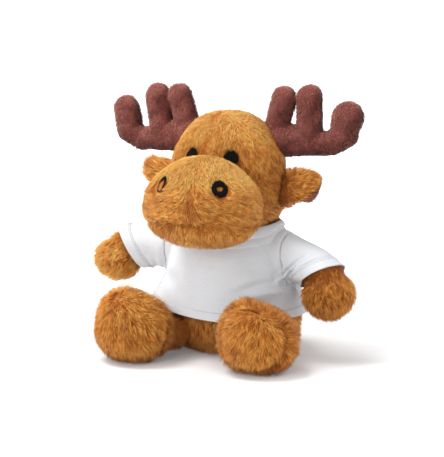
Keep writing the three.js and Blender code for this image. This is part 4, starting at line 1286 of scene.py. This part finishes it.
CHEST_PLACE = np.array((0.0226, -0.046, 0.0665))
CHEST_SINE = 0.34
CHEST_COSINE = 0.94
CHEST_HOLLOW = 0.0018
CHEST_TALL = 0.006
CHEST_WIDE = 0.019
PINCH_PLACE = (0.0505, -0.0150, 0.0625)
PINCH_DEPTH = 0.0014
PUFF_OUT = 0.0012
UPPER_PUFF_PLACE = (0.0540, -0.0140, 0.0665)
LOWER_PUFF_PLACE = (0.0485, -0.0180, 0.0575)
KNIT_WHITE = (0.725, 0.750, 0.780, 1)
KNIT_SHADE = (0.655, 0.680, 0.710, 1)
KNIT_LOOPS = (1400.0, 1400.0, 700.0)
# The white stitches are coloured grey: painted shade of the stitch holes along the hem and cuffs.
STITCH_PAINTED_SHADE = (0.36, 0.37, 0.40, 1)
STITCH_SIZES = {"Pitch": 0.0024, "Length": 0.00060, "Width": 0.00030}
STITCH_PROUD = 0.0001
ON_SEAM = 0.0002


def knit_material():
    material, tree = new_material("white_jersey")
    spot = node_in(tree, "ShaderNodeTexCoord").outputs["Object"]
    fine = output_of(tree, "ShaderNodeMapping", {"Vector": spot, "Scale": KNIT_LOOPS})
    loops = node_in(tree, "ShaderNodeTexVoronoi", {"Vector": fine, "Scale": 1.0}).outputs["Distance"]
    cloud = grain(tree, spot, 160.0, 3.0)
    tone = output_of(tree, "ShaderNodeMix", {"Factor": 0.5, 2: loops, 3: cloud}, data_type="FLOAT")
    coated(tree, toned(tree, tone, (0.35, KNIT_WHITE), (0.95, KNIT_SHADE)), 0.88,
           {"Specular IOR Level": 0.2, "Sheen Weight": 0.15, "Normal": bumped(tree, loops, 0.25, 0.0003)})
    return material


def stitch_row():
    tree, given = new_tree("stitch_row", [("Pitch", "Float"), ("Length", "Float"), ("Width", "Float")])
    line = output_of(tree, "GeometryNodeMeshToCurve", {"Mesh": given["Geometry"]})
    spaced = output_of(tree, "GeometryNodeResampleCurve", {"Curve": line, "Length": given["Pitch"]},
                       mode="LENGTH")
    tangent = output_of(tree, "GeometryNodeInputTangent")
    out = read(tree, "out", "FLOAT_VECTOR")
    real = sew(tree, spaced, tangent, out, given["Length"], given["Width"], 1)
    finish_tree(tree, real, ("out",), given["Material"])
    return tree


def finer(piece):
    rounder = piece.modifiers.new("finer", "SUBSURF")
    rounder.levels = 1
    rounder.render_levels = 1
    return settled(piece)


def on_arm_test(arm_frame):
    back = arm_frame.inverted()

    def test(spot):
        own = back @ spot
        return own.y > SLEEVE_START and math.hypot(own.x, own.z) < SLEEVE_REACH
    return test


def anywhere(spot):
    return True


def near_hem(spot):
    return spot.z < HEM_HEIGHT + HEM_ZONE


def near_neck(spot):
    return math.hypot(spot.x, spot.y) < NECK_REACH and spot.z > NECK_ZONE


def sliced(bm, place, way, within):
    chosen = [face for face in bm.faces if within(face.calc_center_median())]
    edges = dict.fromkeys(edge for face in chosen for edge in face.edges)
    verts = dict.fromkeys(vert for face in chosen for vert in face.verts)
    return bmesh.ops.bisect_plane(bm, geom=[*verts, *edges, *chosen], dist=1e-6, plane_co=place, plane_no=way)


def copied(piece):
    bm = bmesh.new()
    bm.from_mesh(piece.data)
    return bm


armholes = {}
for side, arm_frame in arm_frames.items():
    lean = Matrix.Rotation(ARMHOLE_LEAN[side], 3, "X")
    hole_way = arm_frame.to_3x3() @ lean @ Vector((0, 1, 0))
    armholes[side] = (arm_frame @ Vector((0, ARMHOLE, 0)), hole_way)

shirt_bm = bmesh.new()
cloth_grow = Vector((CLOTH_GAP, CLOTH_GAP, CLOTH_GAP))
plump(shirt_bm, TORSO_MIDDLE, TORSO_HALF + cloth_grow, TORSO_TAPER, TORSO_SQUARENESS, 96, 64)
for vert in shirt_bm.verts:
    fall = max(0.0, (ARMPIT_HEIGHT - vert.co.z) / (ARMPIT_HEIGHT - HEM_HEIGHT))
    reach = math.hypot(vert.co.x, vert.co.y)
    flare = 1 + HEM_FLARE * fall / reach if reach > 0 else 1
    vert.co.x *= flare
    vert.co.y *= flare
for arm_frame in arm_frames.values():
    tube = limb_profile(ARM_RADIUS + SLEEVE_EASE, WRIST_RADIUS + CUFF_EASE, ARM_LENGTH + CUFF_PAST_ARM)
    lathed(shirt_bm, tube, arm_frame, 48)
shirt = finer(melted("shirt_whole", shirt_bm, CLOTH_VOXEL, 10))

scored_bm = copied(shirt)
for proud in (-SCORE, SCORE):
    sliced(scored_bm, Vector((0, 0, HEM_HEIGHT + HEM_TURN + proud)), Vector((0, 0, 1)), near_hem)
    for side, arm_frame in arm_frames.items():
        cuff_place, cuff_way = cuff_planes[side]
        sliced(scored_bm, cuff_place - cuff_way * (CUFF_TURN + proud), cuff_way, on_arm_test(arm_frame))
scored_bm.to_mesh(shirt.data)
scored_bm.free()

places = points_of(shirt)
outward = normals_of(shirt)
folds = BROAD_FOLD * lumps(places, 38, 31) + FINE_FOLD * lumps(places, 90, 33)
around = np.arctan2(places[:, 1], places[:, 0])
fallen = clamped((FALL_START - places[:, 2]) / FALL_BLEND)
folds = folds + HEM_WAVE * fallen ** 2 * np.sin(5 * around + 0.7)
facing = clamped(-outward[:, 1])
for side, sign in SIDES:
    rel = places - np.array(arm_frames[side] @ ARMPIT_PLACE)
    spread = np.arctan2(rel[:, 2], -sign * rel[:, 0])
    away = np.hypot(rel[:, 0], rel[:, 2])
    ring = ARMPIT_FOLD * facing * bell(away - ARMPIT_REACH, ARMPIT_SPREAD)
    folds = folds + ring * np.sin(5 * spread + 0.6 * sign)
    ahead, along, tall = local_points(places, arm_frames[side]).T
    on_cloth = np.hypot(ahead, tall) < SLEEVE_FOLD_REACH
    on_sleeve = clamped(along / 0.006) * on_cloth
    under = clamped(-tall / 0.012 + 0.3)
    ripples = bell(along - RIPPLE_PLACE, RIPPLE_SPREAD) * np.sin(along / RIPPLE_PITCH)
    folds = folds + (0.0007 + 0.0002 * sign) * on_sleeve * under * ripples
    if side == "left":
        past = along - DRAG_PLACE - DRAG_SLOPE * tall
        drag = 0.0007 * bell(past - 0.0019, 0.0012) - 0.0013 * bell(past, 0.0013)
        drag = (drag + 0.0006 * bell(past - 0.0057, 0.0016)) * bell(tall + 0.002, 0.010)
        tuck = 0.0013 * bell(past - 0.0037, 0.0012) * bell(tall + 0.0055, 0.0045)
        folds = folds + clamped(ahead / 0.006) * on_cloth * DRAG_STRENGTH * (drag - tuck)
for side, droop in CUFF_DROOP.items():
    ahead, along, tall = local_points(places, arm_frames[side]).T
    drooping = clamped((along - 0.020) / 0.020) ** 2 * clamped(tall / 0.012)
    places[:, 2] = places[:, 2] - droop * drooping * (np.hypot(ahead, tall) < SLEEVE_EDGE_REACH)
on_yoke = bell(np.hypot(places[:, 0], places[:, 1]) - YOKE_REACH, YOKE_SPREAD)
yoke = on_yoke * clamped((places[:, 2] - YOKE_BASE) / YOKE_BLEND)
places[:, 2] = places[:, 2] + YOKE_LIFT * yoke
swing = (around - RIDGE_TURN) / RIDGE_SPREAD
above_ridge = places[:, 2] - (RIDGE_HEIGHT - RIDGE_SAG * swing ** 2)
ridge = bell(above_ridge + 0.0028, 0.0036) * bell(swing, 1)
hollow = bell(above_ridge - 0.0036, 0.0030) * bell(swing, 1)
folds = folds + RIDGE_OUT * ridge - HOLLOW_IN * hollow
slope = past_plane(places, CHEST_PLACE, (-CHEST_SINE, 0, CHEST_COSINE))
sideways = past_plane(places, CHEST_PLACE, (CHEST_COSINE, 0, CHEST_SINE))
chest = CHEST_HOLLOW * bell(slope, CHEST_TALL) * bell(sideways, CHEST_WIDE)
folds = folds - chest * clamped(-outward[:, 1] * 1.5)
puffs = near(places, UPPER_PUFF_PLACE, 0.0042) + near(places, LOWER_PUFF_PLACE, 0.0045)
folds = folds - PINCH_DEPTH * near(places, PINCH_PLACE, 0.0040) + PUFF_OUT * puffs


def turned_up(beyond, groove):
    inside = beyond < SCORE * 0.9
    return np.where(inside, -groove * bell(beyond + SCORE, GROOVE_WIDTH), TURN_STEP)


folds = folds + turned_up(HEM_HEIGHT + HEM_TURN - places[:, 2], HEM_GROOVE)
for side, arm_frame in arm_frames.items():
    ahead, along, tall = local_points(places, arm_frame).T
    near_arm = np.hypot(ahead, tall) < SLEEVE_EDGE_REACH
    beyond = past_plane(places, *cuff_planes[side]) + CUFF_TURN
    folds = folds + ((along > CUFF_FROM) & near_arm) * turned_up(beyond, CUFF_GROOVE)
    armhole = bell(past_plane(places, *armholes[side]), ARMHOLE_GROOVE_WIDTH) * near_arm
    folds = folds - ARMHOLE_GROOVE * armhole * (along > SHOULDER_FROM)
move_points(shirt, pushed(places, outward, folds))


def cut_part(source, cuts):
    bm = copied(source)
    for place, way, within in cuts:
        sliced(bm, place, way, within)
        gone = [face for face in bm.faces if within(face.calc_center_median())
                and (face.calc_center_median() - place).dot(way) > 0]
        bmesh.ops.delete(bm, geom=gone, context="FACES")
    return bm


def keep_largest(bm):
    left = set(bm.faces)
    best = []
    while left:
        seed = left.pop()
        island = [seed]
        queue = [seed]
        while queue:
            for edge in queue.pop().edges:
                for face in edge.link_faces:
                    if face in left:
                        left.remove(face)
                        island.append(face)
                        queue.append(face)
        if len(island) > len(best):
            best = island
    kept_faces = set(best)
    bmesh.ops.delete(bm, geom=[face for face in bm.faces if face not in kept_faces], context="FACES")


def cloth_sheet(name, bm, holes):
    sewn = {vert for edge in bm.edges if edge.is_boundary for vert in edge.verts}
    for vert in sewn:
        if any(abs((vert.co - place).dot(way)) < ON_SEAM for place, way in holes):
            vert.co = vert.co - vert.normal * SEAM_DEPTH
    piece = shaped(name, bm)
    thick = piece.modifiers.new("cloth", "SOLIDIFY")
    thick.thickness = CLOTH
    thick.offset = -1
    settled(piece)
    piece.data.shade_smooth()
    piece.data.materials.append(white_jersey)
    return piece


def stitched(name, source, place, way, within):
    bm = copied(source)
    cut = bmesh.ops.bisect_plane(bm, geom=[*bm.verts, *bm.edges, *bm.faces], dist=1e-6,
                                 plane_co=place, plane_no=way)
    number = {}
    rows = []
    outs = []
    pairs = []
    for edge in cut["geom_cut"]:
        if not isinstance(edge, bmesh.types.BMEdge) or not all(within(vert.co) for vert in edge.verts):
            continue
        for vert in edge.verts:
            if vert not in number:
                number[vert] = len(rows)
                rows.append(vert.co + vert.normal * STITCH_PROUD)
                outs.append(vert.normal.copy())
        pairs.append([number[vert] for vert in edge.verts])
    mesh = bpy.data.meshes.new(name)
    mesh.from_pydata(rows, pairs, [])
    store(mesh, "out", outs)
    bm.free()
    row = run_tree(name, row_tree, mesh, {**STITCH_SIZES, "Material": white_thread})
    return row


white_jersey = knit_material()
white_thread = thread_material("white_sewing_thread", STITCH_PAINTED_SHADE, 0.7, 0.2)
row_tree = stitch_row()
neck_tilt = Vector((0, -math.sin(NECK_CUT_LEAN), math.cos(NECK_CUT_LEAN)))
hem_cut = (Vector((0, 0, HEM_HEIGHT)), Vector((0, 0, -1)), anywhere)
neck_cut = (Vector((0, NECK_BACK, NECK_CUT_HEIGHT)), neck_tilt, near_neck)
armhole_cuts = [(*armholes[side], on_arm_test(arm_frame)) for side, arm_frame in arm_frames.items()]
body_bm = cut_part(shirt, [hem_cut, neck_cut, *armhole_cuts])
keep_largest(body_bm)
collar_foot = []
for edge in body_bm.edges:
    spot = edge.verts[0].co
    if edge.is_boundary and spot.z > COLLAR_FOOT_LEAST and math.hypot(spot.x, spot.y) < NECK_REACH:
        collar_foot.append((math.atan2(spot.y - NECK_BACK, spot.x), spot.copy()))
collar_foot.sort(key=lambda pair: pair[0])
shirt_body = cloth_sheet("shirt_body", body_bm, armholes.values())
hem_stitches = stitched("hem_stitches", shirt, Vector((0, 0, HEM_HEIGHT + HEM_TURN)), Vector((0, 0, 1)),
                        anywhere)


def over_leg(places):
    fallen = np.clip((OVER_LEG_TOP - places[:, 2]) / (OVER_LEG_TOP - HEM_HEIGHT), 0, 1.2) ** 1.5
    turn = np.abs(np.arctan2(places[:, 1], places[:, 0]) - OVER_LEG_TURN)
    turn = np.minimum(turn, 2 * math.pi - turn)
    lift = fallen * bell(turn, OVER_LEG_SPREAD) - 0.08 * fallen
    away = places * np.array((1, 1, 0)) / np.hypot(places[:, 0], places[:, 1])[:, None]
    return places + away * (OVER_LEG_OUT * lift)[:, None] + np.outer(OVER_LEG_UP * lift, (0, 0, 1))


for piece in (shirt_body, hem_stitches):
    move_points(piece, over_leg(points_of(piece)))
    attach(piece, "torso")
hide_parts("shirt_front", "shirt_back")

for side, sign in SIDES:
    on_arm = on_arm_test(arm_frames[side])
    cuff_place, cuff_way = cuff_planes[side]
    hole_place, hole_way = armholes[side]
    sleeve_bm = cut_part(shirt, [(hole_place, -hole_way, anywhere), (cuff_place, cuff_way, anywhere)])
    off_arm = [face for face in sleeve_bm.faces if not on_arm(face.calc_center_median())]
    bmesh.ops.delete(sleeve_bm, geom=off_arm, context="FACES")
    keep_largest(sleeve_bm)
    sleeve = cloth_sheet(f"sleeve_{side}_knit", sleeve_bm, [armholes[side]])
    stitch_place = cuff_place - cuff_way * (CUFF_TURN - CUFF_STITCH_SHIFT)
    cuff_stitches = stitched(f"cuff_{side}_stitches", shirt, stitch_place, cuff_way, on_arm)
    bend_reach = max(BEND_LEAST, past_plane(points_of(cuff_stitches), hole_place, hole_way).min())
    for piece in (sleeve, cuff_stitches, arm_hides[side]):
        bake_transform(piece)
    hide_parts(f"sleeve_{side}")

bpy.data.objects.remove(shirt)


# Collar: a plain folded band of the same jersey, sewn round the neck opening.
# It stands up against the fur, with its fold at the top and a seam across its outer face.
COLLAR_TOP = 0.0995
COLLAR_TILT = math.tan(math.radians(4))
COLLAR_LEAN = 0.0035
COLLAR_OUT = 0.0008
COLLAR_SINK = 0.0012
COLLAR_LEAST = 0.006
COLLAR_STEPS = 96
COLLAR_SECTION = (
    (0, 0.0), (0.22, 0.0006), (0.40, 0.0003), (0.45, -0.0004), (0.50, 0.0009), (0.70, 0.0013), (0.88, 0.0008),
    (0.97, -0.0002), (1.0, -0.0010), (0.97, -0.0018), (0.85, -0.0023), (0.55, -0.0016), (0.25, -0.0015),
    (0, -0.0020),
)

angles = [turn for turn, spot in collar_foot]
foot_reach = [math.hypot(spot.x, spot.y - NECK_BACK) for turn, spot in collar_foot]
foot_height = [spot.z for turn, spot in collar_foot]
collar_bm = bmesh.new()
rows = []
for i in range(COLLAR_STEPS):
    turn = -math.pi + 2 * math.pi * i / COLLAR_STEPS
    reach = np.interp(turn, angles, foot_reach, period=2 * math.pi)
    foot = np.interp(turn, angles, foot_height, period=2 * math.pi) - COLLAR_SINK
    top = max(COLLAR_TOP + reach * math.sin(turn) * COLLAR_TILT, foot + COLLAR_LEAST)
    row = []
    for share, proud in COLLAR_SECTION:
        radius = reach + COLLAR_OUT - COLLAR_LEAN * share + proud
        height = foot + (top - foot) * share
        spot = (radius * math.cos(turn), NECK_BACK + radius * math.sin(turn), height)
        row.append(collar_bm.verts.new(spot))
    rows.append(row)
for i, row in enumerate(rows):
    after = rows[(i + 1) % COLLAR_STEPS]
    for j in range(len(row)):
        k = (j + 1) % len(row)
        collar_bm.faces.new((row[j], after[j], after[k], row[k]))
bmesh.ops.recalc_face_normals(collar_bm, faces=collar_bm.faces)
collar = finer(shaped("collar_band", collar_bm))
collar.data.shade_smooth()
collar.data.materials.append(white_jersey)
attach(collar, "torso")
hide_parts("shirt_collar")
